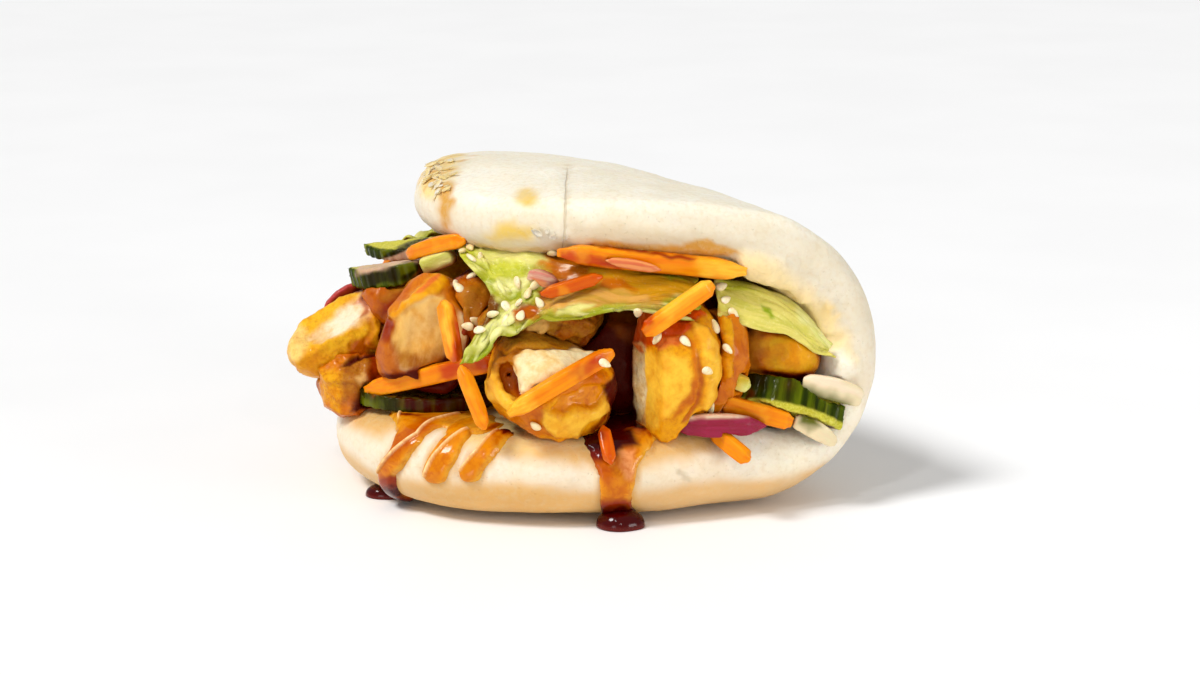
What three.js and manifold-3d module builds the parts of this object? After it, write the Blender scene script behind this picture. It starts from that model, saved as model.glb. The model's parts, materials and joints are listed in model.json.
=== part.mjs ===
// A filled bao: a steamed bun folded over fried chicken, lettuce, carrot, cucumber and red onion.
// Millimetres, +Z up. -Y is the open side that faces the eater, the fold is on the right and behind.
import * as THREE from "three";
import { mergeVertices } from "three/addons/utils/BufferGeometryUtils.js";
import Module from "manifold-3d";

const wasm = await Module();
wasm.setup();

// Driving dimensions of the bun.
const BUN_WIDTH = 105; // along the fold
const FOLD_RADIUS = 29.2; // outer radius of the fold
const FOLD_TURN = THREE.MathUtils.degToRad(163);
const LOWER_RUN = 57; // flat run of the lower half, lip to fold
const UPPER_RUN = 48; // run of the upper half, fold to lip
const UPPER_RADIUS = 85; // how gently the upper half levels out
const DOUGH_LOWER = 17; // thickness of the lower half
const DOUGH_UPPER = 10.8;
const DOUGH_AT_FOLD = 9;
const DOUGH_GROWS_OVER = 45; // distance from the fold's middle to full thickness
const CROWN = 1.5; // how far the upper half is puffed up in its middle
const FAR_DROOP = 5; // how far its left end hangs lower
const NEAR_DROOP = 1;
const PUFF_FROM = -0.2; // both fade in from here, as a share of the half run
const RIM_CURL = 1.6; // how far the lower half's underside rises towards its rim
const CURL_FROM = 0.6; // share of the way out where that rise starts
const CURL_TO = 0.5; // share of the half run where it has faded out
const OVAL_POWER = 2.2; // the unfolded bun is this superellipse
const BUN_TURN = THREE.MathUtils.degToRad(-55);
const BUN_PLACE = [6, 4];
const CENTRE = [0.1, 6.5]; // of the whole, filling included

// Driving dimensions of the filling.
const GAP = 0.35; // left between neighbours
const LEAF_THICK = 0.9;
const SEED_HALF = [1.5, 0.95, 0.6]; // a sesame seed's half length, width and thickness
const SAUCE_ROOT = 0.8; // how deep a run of sauce is let into the dough
const LIP_RADIUS = 47; // of the lower lip, seen from above
const WELD = 1e-4; // points closer than this are one

const FOLD_RUN = FOLD_RADIUS * FOLD_TURN;
const HALF_RUN = (LOWER_RUN + FOLD_RUN + UPPER_RUN) / 2;

const { clamp, degToRad, lerp } = THREE.MathUtils;
const smooth = (t) => THREE.MathUtils.smoothstep(t, 0, 1);
const vector = (xyz) => new THREE.Vector3(...xyz);

// The outer skin's section across the fold, at a distance s along it from its middle:
// d is towards the fold's side, z is up, and turn is the skin's direction.
function skin(s) {
  const run = s + HALF_RUN;
  if (run < LOWER_RUN) return { d: run - LOWER_RUN, z: 0, turn: 0 };
  const bend = Math.min((run - LOWER_RUN) / FOLD_RADIUS, FOLD_TURN);
  const arc = { d: FOLD_RADIUS * Math.sin(bend), z: FOLD_RADIUS * (1 - Math.cos(bend)), turn: bend };
  const past = (run - LOWER_RUN - FOLD_RUN) / UPPER_RADIUS;
  if (past <= 0) return arc;
  const turn = FOLD_TURN + past;
  return {
    d: arc.d + UPPER_RADIUS * (Math.sin(turn) - Math.sin(FOLD_TURN)),
    z: arc.z + UPPER_RADIUS * (Math.cos(FOLD_TURN) - Math.cos(turn)),
    turn,
  };
}

function doughAt(s) {
  const full = s < 0 ? DOUGH_LOWER : DOUGH_UPPER;
  return lerp(DOUGH_AT_FOLD, full, smooth(Math.abs(s) / DOUGH_GROWS_OVER));
}

// The unfolded oval's edge in a direction phi: distance along the skin and along the fold.
function ovalEdge(phi) {
  const c = Math.cos(phi);
  const k = Math.sin(phi);
  const reach = Math.pow(
    Math.pow(Math.abs(c) / HALF_RUN, OVAL_POWER) + Math.pow(Math.abs(k) / (BUN_WIDTH / 2), OVAL_POWER),
    -1 / OVAL_POWER,
  );
  return { s: reach * c, w: reach * k, reach };
}

// A point of the dough: s and w on the unfolded oval, at a depth in from the outer skin.
function doughPoint(s, w, depth) {
  const at = skin(s);
  return new THREE.Vector3(w, at.d - Math.sin(at.turn) * depth, at.z + Math.cos(at.turn) * depth);
}

// The bun's surface: around is the direction on the oval. level runs from 0 at the middle of the
// outer skin to 1 where the lip starts to round, 2 where it ends and 3 at the middle of the inside.
function bunPoint(around, level, grow) {
  const edge = ovalEdge(around);
  const half = doughAt(edge.s) / 2;
  const lip = clamp(level - 1, 0, 1) * Math.PI;
  const share = level <= 1 ? level : level >= 2 ? 3 - level : 1;
  const reach = (edge.reach - half) * share + Math.sin(lip) * (half + grow);
  const out = reach / edge.reach;
  const s = edge.s * out;
  const w = edge.w * out;
  const thick = level <= 1 || level >= 2 ? doughAt(s) : 2 * half;
  const depth = thick / 2 - (thick / 2 + grow) * Math.cos(lip);
  const droop = (w < 0 ? FAR_DROOP : NEAR_DROOP) * ((2 * w) / BUN_WIDTH) ** 2;
  const puff = (CROWN * (1 - out ** 2) - droop) * smooth(s / HALF_RUN - PUFF_FROM);
  const rise = smooth((out - CURL_FROM) / (1 - CURL_FROM));
  const curl = RIM_CURL * rise * smooth(CURL_TO - s / HALF_RUN) * (1 - depth / thick);
  return doughPoint(s, w, depth - puff + curl);
}

// A closed surface of rings, each a loop of count points, with a single point at either end.
function closedRings(levels, count, point) {
  const positions = [];
  const faces = [];
  const push = (p) => positions.push(p.x, p.y, p.z) / 3 - 1;
  const first = push(point(0, levels[0]));
  const rings = levels.slice(1, -1).map((level) =>
    Array.from({ length: count }, (_, i) => push(point((2 * Math.PI * i) / count, level))),
  );
  const last = push(point(0, levels[levels.length - 1]));
  for (let i = 0; i < count; i++) {
    const j = (i + 1) % count;
    faces.push(first, rings[0][i], rings[0][j]);
    for (let r = 0; r + 1 < rings.length; r++) {
      const [here, next] = [rings[r], rings[r + 1]];
      faces.push(here[i], next[i], next[j]);
      faces.push(here[i], next[j], here[j]);
    }
    faces.push(last, rings[rings.length - 1][j], rings[rings.length - 1][i]);
  }
  return indexed(positions, faces);
}

// A closed body over a grid: place(i, j, side) gives its front (1) and its back (-1), split alike.
function patch(columns, rows, place) {
  const positions = [];
  const faces = [];
  for (const side of [1, -1]) {
    for (let j = 0; j <= rows; j++) {
      for (let i = 0; i <= columns; i++) positions.push(...place(i, j, side));
    }
  }
  const wide = columns + 1;
  const back = wide * (rows + 1);
  for (let j = 0; j < rows; j++) {
    for (let i = 0; i < columns; i++) {
      const a = j * wide + i;
      const b = back + a;
      faces.push(a, a + 1, a + wide + 1, a, a + wide + 1, a + wide);
      faces.push(b, b + wide + 1, b + 1, b, b + wide, b + wide + 1);
    }
  }
  const wall = (a, b) => faces.push(a, back + a, back + b, a, back + b, b);
  for (let i = 0; i < columns; i++) {
    wall(i, i + 1);
    wall(rows * wide + i + 1, rows * wide + i);
  }
  for (let j = 0; j < rows; j++) {
    wall((j + 1) * wide, j * wide);
    wall(j * wide + columns, (j + 1) * wide + columns);
  }
  return indexed(positions, faces);
}

// A closed body through sections that all have the same number of corners.
function loft(sections) {
  const positions = sections.flat().flatMap((p) => [p.x, p.y, p.z]);
  const faces = [];
  const n = sections[0].length;
  for (let k = 0; k + 1 < sections.length; k++) {
    for (let i = 0; i < n; i++) {
      const a = k * n + i;
      const b = k * n + ((i + 1) % n);
      faces.push(a, b, b + n, a, b + n, a + n);
    }
  }
  const end = (sections.length - 1) * n;
  for (let i = 1; i + 1 < n; i++) {
    faces.push(0, i + 1, i);
    faces.push(end, end + i, end + i + 1);
  }
  return indexed(positions, faces);
}

function indexed(positions, faces) {
  const geometry = new THREE.BufferGeometry();
  geometry.setAttribute("position", new THREE.Float32BufferAttribute(positions, 3));
  geometry.setIndex(faces);
  return geometry;
}

function solidOf(geometry) {
  const bare = geometry.clone();
  bare.deleteAttribute("normal");
  bare.deleteAttribute("uv");
  const merged = mergeVertices(bare, WELD);
  return new wasm.Manifold(
    new wasm.Mesh({
      numProp: 3,
      vertProperties: merged.attributes.position.array,
      triVerts: new Uint32Array(merged.index.array),
    }),
  );
}

function geometryOf(solid) {
  const mesh = solid.getMesh();
  const geometry = new THREE.BufferGeometry();
  geometry.setAttribute("position", new THREE.BufferAttribute(mesh.vertProperties, 3));
  geometry.setIndex(new THREE.BufferAttribute(mesh.triVerts, 1));
  geometry.computeVertexNormals();
  return geometry;
}

// A block that fills everything beyond a plane.
const CUTTER = 200;
function halfSpace(direction, distance) {
  const block = new THREE.BoxGeometry(CUTTER, CUTTER, CUTTER);
  block.translate(0, 0, CUTTER / 2 + distance);
  const toDirection = new THREE.Quaternion().setFromUnitVectors(vector([0, 0, 1]), direction);
  return block.applyQuaternion(toDirection);
}

function placed(geometry, at, turn) {
  const angles = new THREE.Euler(...turn.map(degToRad));
  const whole = new THREE.Matrix4().makeRotationFromEuler(angles).setPosition(...at);
  return geometry.applyMatrix4(whole);
}

// The bun, with the sauce that ran down its lower lip.
const FLAT_RINGS = 5;
const LIP_RINGS = 6;
const AROUND = 48;
const toRow = new THREE.Matrix4()
  .makeTranslation(BUN_PLACE[0], BUN_PLACE[1], 0)
  .multiply(new THREE.Matrix4().makeRotationZ(BUN_TURN));

function doughGeometry(grow) {
  const steps = (from, count) => Array.from({ length: count }, (_, i) => from + i / count);
  const levels = [...steps(0, FLAT_RINGS), ...steps(1, LIP_RINGS), ...steps(2, FLAT_RINGS), 3];
  return closedRings(levels, AROUND, (around, level) => bunPoint(around, level, grow));
}

// A run of sauce: a domed patch of the lip's skin. around and level go from its foot to its top.
const RUN_COLUMNS = 8;
const RUN_ROWS = 4;
const RUN_BLUNT = 6; // the higher, the squarer its ends
const RUN_END = Math.sqrt(0.1); // width left at the very ends, as a share
const DOME = [0.15, 0.9]; // part of a half wave that its thickness follows
const RUNS = [
  { around: [149.5, 149], level: [1.12, 2.06], wide: [7, 17], thick: 1.5 },
  { around: [178.5, 177], level: [1.1, 2.04], wide: [6, 9], thick: 1.2 },
  { around: [170, 168.5], level: [1.42, 2.02], wide: [5, 5], thick: 1.3 },
  { around: [164.5, 163.5], level: [1.45, 1.95], wide: [4, 4], thick: 1.2 },
];

function runGeometry({ around, level, wide, thick }, grow) {
  return patch(RUN_COLUMNS, RUN_ROWS, (i, j, side) => {
    const u = i / RUN_COLUMNS;
    const v = j / RUN_ROWS;
    const blunt = Math.max(RUN_END, Math.sqrt(1 - (2 * u - 1) ** RUN_BLUNT));
    const halfWide = (lerp(wide[0], wide[1], smooth(2 * u - 1)) / 2 + grow) * blunt;
    const turn = degToRad(lerp(around[0], around[1], u)) + ((2 * v - 1) * halfWide) / LIP_RADIUS;
    const dome = thick * Math.sin(Math.PI * v) * Math.sin(Math.PI * lerp(DOME[0], DOME[1], u));
    return bunPoint(turn, lerp(level[0], level[1], u), side > 0 ? dome + grow : -SAUCE_ROOT);
  });
}

// Sauce that gathered at the foot of a run, flat on the underside's level.
const POOLS = [
  { at: [8.3, -42.4], half: [4.4, 3.6, 3.4] },
  { at: [-36.2, -22.5], half: [4.8, 3.2, 2.6] },
  { at: [-44, 2], half: [2.6, 2.6, 2.2] },
];

function poolSolid({ at, half }, grow) {
  const pool = new THREE.IcosahedronGeometry(1, 1);
  pool.scale(...half.map((h) => h + grow)).translate(...at, 0);
  return solidOf(pool).subtract(solidOf(halfSpace(vector([0, 0, -1]), 0)));
}

function bunSolid(grow) {
  const dough = solidOf(doughGeometry(grow).applyMatrix4(toRow));
  const runs = RUNS.map((run) => solidOf(runGeometry(run, grow).applyMatrix4(toRow)));
  const pools = POOLS.map((pool) => poolSolid(pool, grow));
  return [...runs, ...pools].reduce((bun, piece) => bun.add(piece), dough);
}

// A sesame seed: a flattened drop, lying on a surface at a point with the given normal.
const SEED_TAPER = 0.35;
function seedGeometry(at, normal, spin, grow) {
  const seed = new THREE.IcosahedronGeometry(1, 0);
  const p = seed.attributes.position;
  for (let i = 0; i < p.count; i++) p.setY(i, p.getY(i) * (1 - SEED_TAPER * p.getX(i)));
  seed.scale(...SEED_HALF.map((h) => h + grow)).rotateZ(spin);
  seed.applyQuaternion(new THREE.Quaternion().setFromUnitVectors(vector([0, 0, 1]), normal));
  return seed.translate(...at);
}

// A piece of lettuce, through rows of points that run from its inside to its outer edge.
const LEAVES = {
  leaf_front: {
    rows: [
      [[-18, -8, 47], [-8, -15, 47.5], [7, -18, 47], [22, -19, 44]],
      [[-22.5, -20, 47.5], [-10, -27, 49], [7, -32, 48.5], [23, -33, 44.5]],
      [[-16, -33, 41], [-8, -35.5, 42], [6, -38, 43], [23, -38, 41.5]],
      [[-21.7, -41.5, 30.5], [-13.5, -40.5, 36.3], [-4.8, -39, 39.5], [23, -39.5, 40]],
    ],
    columns: 14,
    lines: 7,
    wave: 0.9,
    waves: 3.5,
    seeds: [
      [0.02, 0.36], [0.06, 0.3], [0.03, 0.42], [0.1, 0.38], [0.1, 0.12], [0.42, 0.2],
      [0.26, 0.56], [0.3, 0.64], [0.34, 0.58], [0.28, 0.74], [0.38, 0.7], [0.22, 0.82],
      [0.14, 0.86], [0.33, 0.84],
    ],
  },
  leaf_side: {
    rows: [
      [[27, -19, 42], [36, -16, 39], [42, -15, 34.5], [45, -15, 30]],
      [[26, -29.5, 44], [35, -28, 42], [43.5, -26.5, 36.5], [48.8, -26, 30.5]],
      [[27, -35, 38.8], [36, -33, 35.6], [43.5, -30, 31.8], [49.2, -27.5, 28.2]],
    ],
    columns: 9,
    lines: 5,
    wave: 0.4,
    waves: 2,
    seeds: [[0.04, 0.62], [0.05, 0.8], [0.1, 0.92]],
  },
  leaf_back: {
    rows: [
      [[-15, 12, 45], [-10, 24, 44], [-3, 34, 41.5]],
      [[-27, 8, 45.5], [-22, 24, 44.5], [-11, 41, 40.5]],
      [[-36, 10, 42.5], [-31, 28, 40.5], [-18, 46, 37]],
    ],
    columns: 9,
    lines: 5,
    wave: 0.8,
    waves: 3,
    seeds: [[0.42, 0.8]],
  },
};

const WAVE_LEAN = 0.3; // how far a frill leans along the leaf on its way out
function leafPoint({ rows, wave, waves }, u, v) {
  const onCurve = (points, t) => new THREE.CatmullRomCurve3(points).getPoint(clamp(t, 0, 1));
  const point = onCurve(rows.map((row) => onCurve(row.map(vector), u)), v);
  point.z += wave * v * Math.sin(2 * Math.PI * (waves * u + WAVE_LEAN * v));
  return point;
}

const STEP = 1e-3; // for the leaf's directions
function leafFrame(leaf, u, v) {
  const uIn = clamp(u, STEP, 1 - STEP);
  const vIn = clamp(v, STEP, 1 - STEP);
  const along = leafPoint(leaf, uIn + STEP, v).sub(leafPoint(leaf, uIn - STEP, v)).normalize();
  const across = leafPoint(leaf, u, vIn + STEP).sub(leafPoint(leaf, u, vIn - STEP)).normalize();
  const normal = across.clone().cross(along).normalize();
  return { point: leafPoint(leaf, u, v), along, across, normal };
}

const LEAF_SPIN = 2.4; // turn from one seed to the next
function leafSolid(leaf, grow) {
  const { columns, lines, seeds } = leaf;
  const geometry = patch(lines, columns, (i, j, side) => {
    const { point, along, across, normal } = leafFrame(leaf, j / columns, i / lines);
    if (i === 0 || i === lines) point.addScaledVector(across, i === 0 ? -grow : grow);
    if (j === 0 || j === columns) point.addScaledVector(along, j === 0 ? -grow : grow);
    return point.addScaledVector(normal, side * (LEAF_THICK / 2 + grow));
  });
  let solid = solidOf(geometry);
  seeds.forEach(([u, v], k) => {
    const { point, normal } = leafFrame(leaf, u, v);
    if (normal.z < 0) normal.negate();
    point.addScaledVector(normal, LEAF_THICK / 2 + SEED_HALF[2] / 3);
    solid = solid.add(solidOf(seedGeometry(point, normal, LEAF_SPIN * k, grow)));
  });
  return solid;
}

// A cut strip, such as a shred of carrot or onion: bow is how far its middle stands off the chord.
// ends is the share of its width left there, and roll turns it about its length.
const STRIP_SECTIONS = 6;
const STRIP_TAPER = 3; // the higher, the later it narrows
function stripSolid({ from, to, bow = [0, 0, 0], wide, tall, roll = 0, ends = 0.6 }, grow) {
  const start = vector(from);
  const end = vector(to);
  const off = vector(bow).multiplyScalar(4); // t * (1 - t) is a quarter in the middle
  const reach = grow / start.distanceTo(end);
  const sections = Array.from({ length: STRIP_SECTIONS }, (_, k) => {
    const t = lerp(-reach, 1 + reach, k / (STRIP_SECTIONS - 1));
    const middle = start.clone().lerp(end, t).addScaledVector(off, t * (1 - t));
    const along = end.clone().sub(start).addScaledVector(off, 1 - 2 * t).normalize();
    const side = along.clone().cross(vector([0, 0, 1])).normalize();
    const up = side.clone().cross(along).normalize();
    side.applyAxisAngle(along, degToRad(roll));
    up.applyAxisAngle(along, degToRad(roll));
    const taper = lerp(1, ends, Math.abs(2 * clamp(t, 0, 1) - 1) ** STRIP_TAPER);
    const a = (wide / 2) * taper + grow;
    const b = (tall / 2) * taper + grow;
    const corner = (p, q) => middle.clone().addScaledVector(side, p * a).addScaledVector(up, q * b);
    return [corner(-1, -1), corner(-1, 1), corner(1, 1), corner(1, -1)];
  });
  return solidOf(loft(sections));
}

// A slice of cucumber: part of a disc, skin on its round edge, which faces local +X.
const SLICE_SEGMENTS = 10;
function sliceSolid({ at, turn, radius, spread, thick }, grow) {
  const chord = radius * Math.cos(degToRad(spread)) - grow;
  const outer = radius + grow;
  const edge = Math.acos(chord / outer);
  const outline = new THREE.Shape();
  outline.absarc(0, 0, outer, -edge, edge, false);
  const depth = thick + 2 * grow;
  const settings = { depth, bevelEnabled: false, curveSegments: SLICE_SEGMENTS };
  const slice = new THREE.ExtrudeGeometry(outline, settings);
  slice.translate(-radius, 0, -depth / 2);
  return solidOf(placed(slice, at, turn));
}

// A fried piece: a rounded block with lumps, flat where it was cut, hollow where the batter lifted.
const SQUARE = 2.7; // the block is this superellipsoid
const LUMP = 0.075;
// The lumps are waves along the block's axes, of different strength. shift sets each block apart.
const LUMPS = [
  { along: [3.1, 0, 1.7], share: 1, shift: 1 },
  { along: [-2.9, 4.3, 0], share: 0.7, shift: 2.1 },
  { along: [0, 5.7, 7.1], share: 0.45, shift: 3.3 },
];

function nuggetRadius(n, seed) {
  const sum = Math.abs(n.x) ** SQUARE + Math.abs(n.y) ** SQUARE + Math.abs(n.z) ** SQUARE;
  const wave = ({ along, share, shift }) => share * Math.sin(vector(along).dot(n) + shift * seed);
  const lumps = LUMPS.reduce((all, lump) => all + wave(lump), 0);
  return sum ** (-1 / SQUARE) * (1 + LUMP * lumps);
}

const NUGGET_DETAIL = 2;
const NUGGET_SPIN = 5; // turns its seeds every way
function nuggetSolid({ at, half, turn, seed, cuts = [], scoops = [], seeds = [] }, grow) {
  const ball = new THREE.IcosahedronGeometry(1, NUGGET_DETAIL);
  const size = half.map((h) => h + grow);
  const p = ball.attributes.position;
  const surface = (n) => n.clone().multiplyScalar(nuggetRadius(n, seed)).multiply(vector(size));
  for (let i = 0; i < p.count; i++) {
    const n = new THREE.Vector3().fromBufferAttribute(p, i).normalize();
    p.setXYZ(i, ...surface(n));
  }
  let solid = solidOf(placed(ball, at, turn));
  for (const { toward, distance } of cuts) {
    const plane = halfSpace(vector(toward).normalize(), distance + grow);
    solid = solid.subtract(solidOf(plane.translate(...at)));
  }
  for (const scoop of grow === 0 ? scoops : []) {
    const dip = new THREE.IcosahedronGeometry(1, 1).scale(...scoop.half);
    solid = solid.subtract(solidOf(placed(dip, scoop.at, scoop.turn)));
  }
  for (const [x, y, z] of seeds) {
    const toward = vector([x, y, z]).normalize();
    const back = new THREE.Quaternion().setFromEuler(new THREE.Euler(...turn.map(degToRad)));
    const on = surface(toward.clone().applyQuaternion(back.clone().invert()).normalize());
    const spot = on.applyQuaternion(back).add(vector(at));
    solid = solid.add(solidOf(seedGeometry(spot, toward, NUGGET_SPIN * (x + z), grow)));
  }
  return solid;
}

const CARROTS = {
  carrot_long: {
    from: [-3.5, -34.5, 51], to: [32, -33, 47], bow: [0, -1, 0.3],
    wide: 2.6, tall: 3.8,
  },
  carrot_crossing: {
    from: [25.5, -39.5, 46.2], to: [12.5, -43, 37.5],
    wide: 2.6, tall: 3.4, ends: 0.75,
  },
  carrot_on_shell: {
    from: [7, -43, 34], to: [-12.5, -47, 23], bow: [0, -1.2, 0.6],
    wide: 2.2, tall: 3.4,
  },
  carrot_left: {
    from: [-41, -20, 20.5], to: [-13.5, -34, 30.2], bow: [0, -1.5, 0.5],
    wide: 2.4, tall: 3.6,
  },
  carrot_upright: {
    from: [-24.8, -35, 42], to: [-22.5, -37.5, 30.5],
    wide: 3.6, tall: 2.2, roll: 90,
  },
  carrot_hanging: {
    from: [-21.5, -42, 31], to: [-17, -45, 19.6], bow: [0.4, -1, 0],
    wide: 2, tall: 2.6,
  },
  carrot_top_left: {
    from: [-21, -20, 50.2], to: [-33, -10, 45], bow: [0, -0.6, 0.8],
    wide: 2.4, tall: 3,
  },
  carrot_low_right: {
    from: [27, -36, 22.5], to: [41, -33.5, 17.8],
    wide: 2.4, tall: 3.6, ends: 0.8,
  },
  carrot_tip_right: { from: [25.5, -37, 17.5], to: [32.5, -42.5, 12.8], wide: 2.2, tall: 3.2 },
  carrot_tip_sauce: {
    from: [5, -42, 19.5], to: [6.6, -47.5, 13.6],
    wide: 2.4, tall: 2.2, ends: 0.4,
  },
  carrot_in_glaze: {
    from: [-6.5, -38.5, 43.8], to: [5, -38, 47.2],
    wide: 2, tall: 2.4, ends: 0.5,
  },
  carrot_back_high: {
    from: [-39, 9, 38.5], to: [-25, 39, 36.5], bow: [-2, 0, 1],
    wide: 2.6, tall: 3.2,
  },
  carrot_back_low: {
    from: [-44, 6, 21], to: [-30, 30, 23], bow: [-1, -1, 1],
    wide: 2.4, tall: 3.4,
  },
  carrot_back_end: {
    from: [-22, 43, 20], to: [-9, 53, 26], bow: [-1, 0, 1],
    wide: 2.4, tall: 3.2,
  },
};

const STALKS = {
  stalk_left: { from: [-30, -15, 43.8], to: [-23.5, -17, 47], wide: 3, tall: 3.4, ends: 0.8 },
  stalk_right: { from: [28, -35.5, 27.6], to: [32.8, -35.5, 25.2], wide: 2.4, tall: 3, ends: 0.5 },
};

const ONIONS = {
  onion_purple: {
    from: [17, -38.5, 18.8], to: [36, -36.5, 17.9], bow: [0, -2.5, 0.6],
    wide: 1.6, tall: 4.6, ends: 0.2,
  },
  onion_far_left: {
    from: [-50, -3, 31], to: [-40, -1, 37], bow: [-1, 0, 0.8],
    wide: 2, tall: 4, ends: 0.5,
  },
  onion_right_low: {
    from: [40, -32.5, 18.5], to: [49.5, -32, 13.2], bow: [0, -1.5, 0.8],
    wide: 1.4, tall: 3.4,
  },
  onion_right_edge: {
    from: [43, -31, 24.8], to: [54.6, -26.5, 20.6], bow: [0, -1, 0.6],
    wide: 1.6, tall: 4.4, ends: 0.8,
  },
  onion_on_carrot: {
    from: [5.5, -37, 50], to: [16, -36.5, 48], bow: [0, -0.5, 0.3],
    wide: 1.2, tall: 2, ends: 0.3,
  },
  onion_on_leaf: { from: [-9, -33.5, 46.6], to: [-3.5, -34.5, 45], wide: 2.2, tall: 3 },
  onion_back: {
    from: [-36, 18, 20], to: [-24, 38, 20], bow: [-2, -1, 1.5],
    wide: 1.6, tall: 4.4, ends: 0.3,
  },
};

const SLICES = {
  cucumber_right: { at: [40, -33.5, 23.4], turn: [-34, 10, -84], radius: 16, spread: 50, thick: 6.5 },
  cucumber_low_left: { at: [-30, -27, 19], turn: [0, 0, -95], radius: 17, spread: 75, thick: 3 },
  cucumber_top_left: { at: [-38, -13, 41], turn: [0, -12, -110], radius: 11, spread: 60, thick: 4 },
  cucumber_behind: { at: [-34, -1, 43], turn: [10, -10, -100], radius: 12, spread: 60, thick: 2.4 },
  cucumber_back: { at: [-40, 20, 33], turn: [0, -20, 160], radius: 16, spread: 60, thick: 3.5 },
  cucumber_back_low: { at: [-31, 36, 19.2], turn: [0, 0, 140], radius: 17, spread: 70, thick: 3 },
};

const CHICKEN = {
  chicken_left_tip: {
    at: [-47, -9, 28.5], half: [11.5, 7, 6.5], turn: [0, -36, 10], seed: 1.2,
    cuts: [{ toward: [-0.5, -0.45, 0.8], distance: 4.5 }],
  },
  chicken_big_cut: {
    at: [-29, -22, 31.5], half: [9, 9, 11], turn: [0, 16, 0], seed: 0.4,
    cuts: [{ toward: [0.1, -0.97, 0.05], distance: 6.5 }],
  },
  chicken_shell: {
    at: [-4.5, -36, 25.3], half: [12.2, 9, 9.3], turn: [8, 12, 4], seed: 2.2,
    scoops: [{ at: [-12.5, -44, 28.5], half: [2.6, 4, 4.4], turn: [0, -20, 0] }],
    seeds: [[-0.3, -0.9, -0.5], [0.6, -0.7, 0.5]],
  },
  chicken_standing: {
    at: [18.5, -35, 28.5], half: [8.5, 8, 14], turn: [0, 6, 0], seed: 3.4,
    cuts: [
      { toward: [-0.86, -0.5, 0], distance: 5.6 },
      { toward: [0.6, -0.1, -0.8], distance: 10.2 },
    ],
    seeds: [[0.2, -0.7, 0.75], [-0.35, -0.6, 0.8], [0.7, -0.8, 0.2]],
  },
  chicken_standing_right: {
    at: [26, -32, 28.6], half: [6, 7, 10.6], turn: [0, 4, 10], seed: 5.1,
    seeds: [[0.3, -0.8, 0.6]],
  },
  chicken_under_leaf: { at: [-6.5, -28, 36], half: [11.5, 8, 6.5], turn: [0, -8, 0], seed: 4.2 },
  chicken_right: { at: [38, -22.5, 30], half: [9.5, 8, 7], turn: [0, 6, 8], seed: 0.9 },
  chicken_low_left: { at: [-42, -11.5, 20.5], half: [9, 8.5, 7.5], turn: [0, 10, 0], seed: 2.9 },
  chicken_mid_left: { at: [-16.5, -19, 36], half: [9, 8.5, 8.5], turn: [0, 0, 20], seed: 3.9 },
  chicken_upper_left: { at: [-35, -7, 35.5], half: [8, 7.5, 6], turn: [0, -10, 0], seed: 1.8 },
  chicken_gap: { at: [7, -22, 28], half: [9.5, 8, 11], turn: [0, 0, -10], seed: 2.6 },
  chicken_inner_left: { at: [-13, -1, 29.5], half: [14, 12.5, 13], turn: [0, 0, 25], seed: 4.8 },
  chicken_inner_right: { at: [19.5, -5.5, 29.5], half: [13.5, 12, 13.5], turn: [0, 0, 30], seed: 0.2 },
  chicken_inner_fold: { at: [1.5, 20.5, 29.5], half: [15, 12.5, 13.5], turn: [0, 0, -50], seed: 3.6 },
  chicken_back_front: { at: [-36, 8, 27], half: [10, 9, 10], turn: [0, 0, 60], seed: 3.1 },
  chicken_back_middle: {
    at: [-25, 22, 27.5], half: [11, 10, 10.5], turn: [0, 0, 50], seed: 5.6,
    cuts: [{ toward: [-0.9, 0.2, 0.1], distance: 8 }],
  },
  chicken_back_end: { at: [-13, 38, 26.8], half: [11, 9, 9.5], turn: [0, 10, 60], seed: 1.5 },
};

const paint = (color, roughness) => new THREE.MeshStandardMaterial({ color, roughness, metalness: 0 });
const DOUGH = paint(0xf4ead6, 0.6);
const LETTUCE = paint(0xc8cc66, 0.45);
const CARROT = paint(0xf08a1a, 0.4);
const ONION = paint(0xc56a84, 0.35);
const CUCUMBER = paint(0x3f5a1c, 0.35);
const FRIED = paint(0xd98a26, 0.5);

const object = new THREE.Group();
const neighbours = [];

function touching(a, b) {
  return [0, 1, 2].every((k) => a.min[k] < b.max[k] && b.min[k] < a.max[k]);
}

// Each piece gives way to those before it, and keeps its largest part.
function add(name, material, shape) {
  const whole = shape(0);
  const box = whole.boundingBox();
  const near = neighbours.filter((other) => touching(box, other.box));
  const left = near.reduce((solid, other) => solid.subtract(other.grown), whole);
  const parts = left.decompose();
  parts.sort((a, b) => b.volume() - a.volume());
  const mesh = new THREE.Mesh(geometryOf(parts[0]), material);
  mesh.name = name;
  mesh.geometry.translate(-CENTRE[0], -CENTRE[1], 0);
  object.add(mesh);
  const grown = shape(GAP);
  neighbours.push({ grown, box: grown.boundingBox() });
}

function addAll(pieces, material, solid) {
  for (const [name, piece] of Object.entries(pieces)) add(name, material, (grow) => solid(piece, grow));
}

add("bun", DOUGH, bunSolid);
addAll(LEAVES, LETTUCE, leafSolid);
addAll(CARROTS, CARROT, stripSolid);
addAll(ONIONS, ONION, stripSolid);
addAll(STALKS, LETTUCE, stripSolid);
addAll(SLICES, CUCUMBER, sliceSolid);
addAll(CHICKEN, FRIED, nuggetSolid);

export default object;
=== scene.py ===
import itertools
import json
import math

import bpy
import numpy as np
from mathutils import Euler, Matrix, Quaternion, Vector
from mathutils.bvhtree import BVHTree

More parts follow.
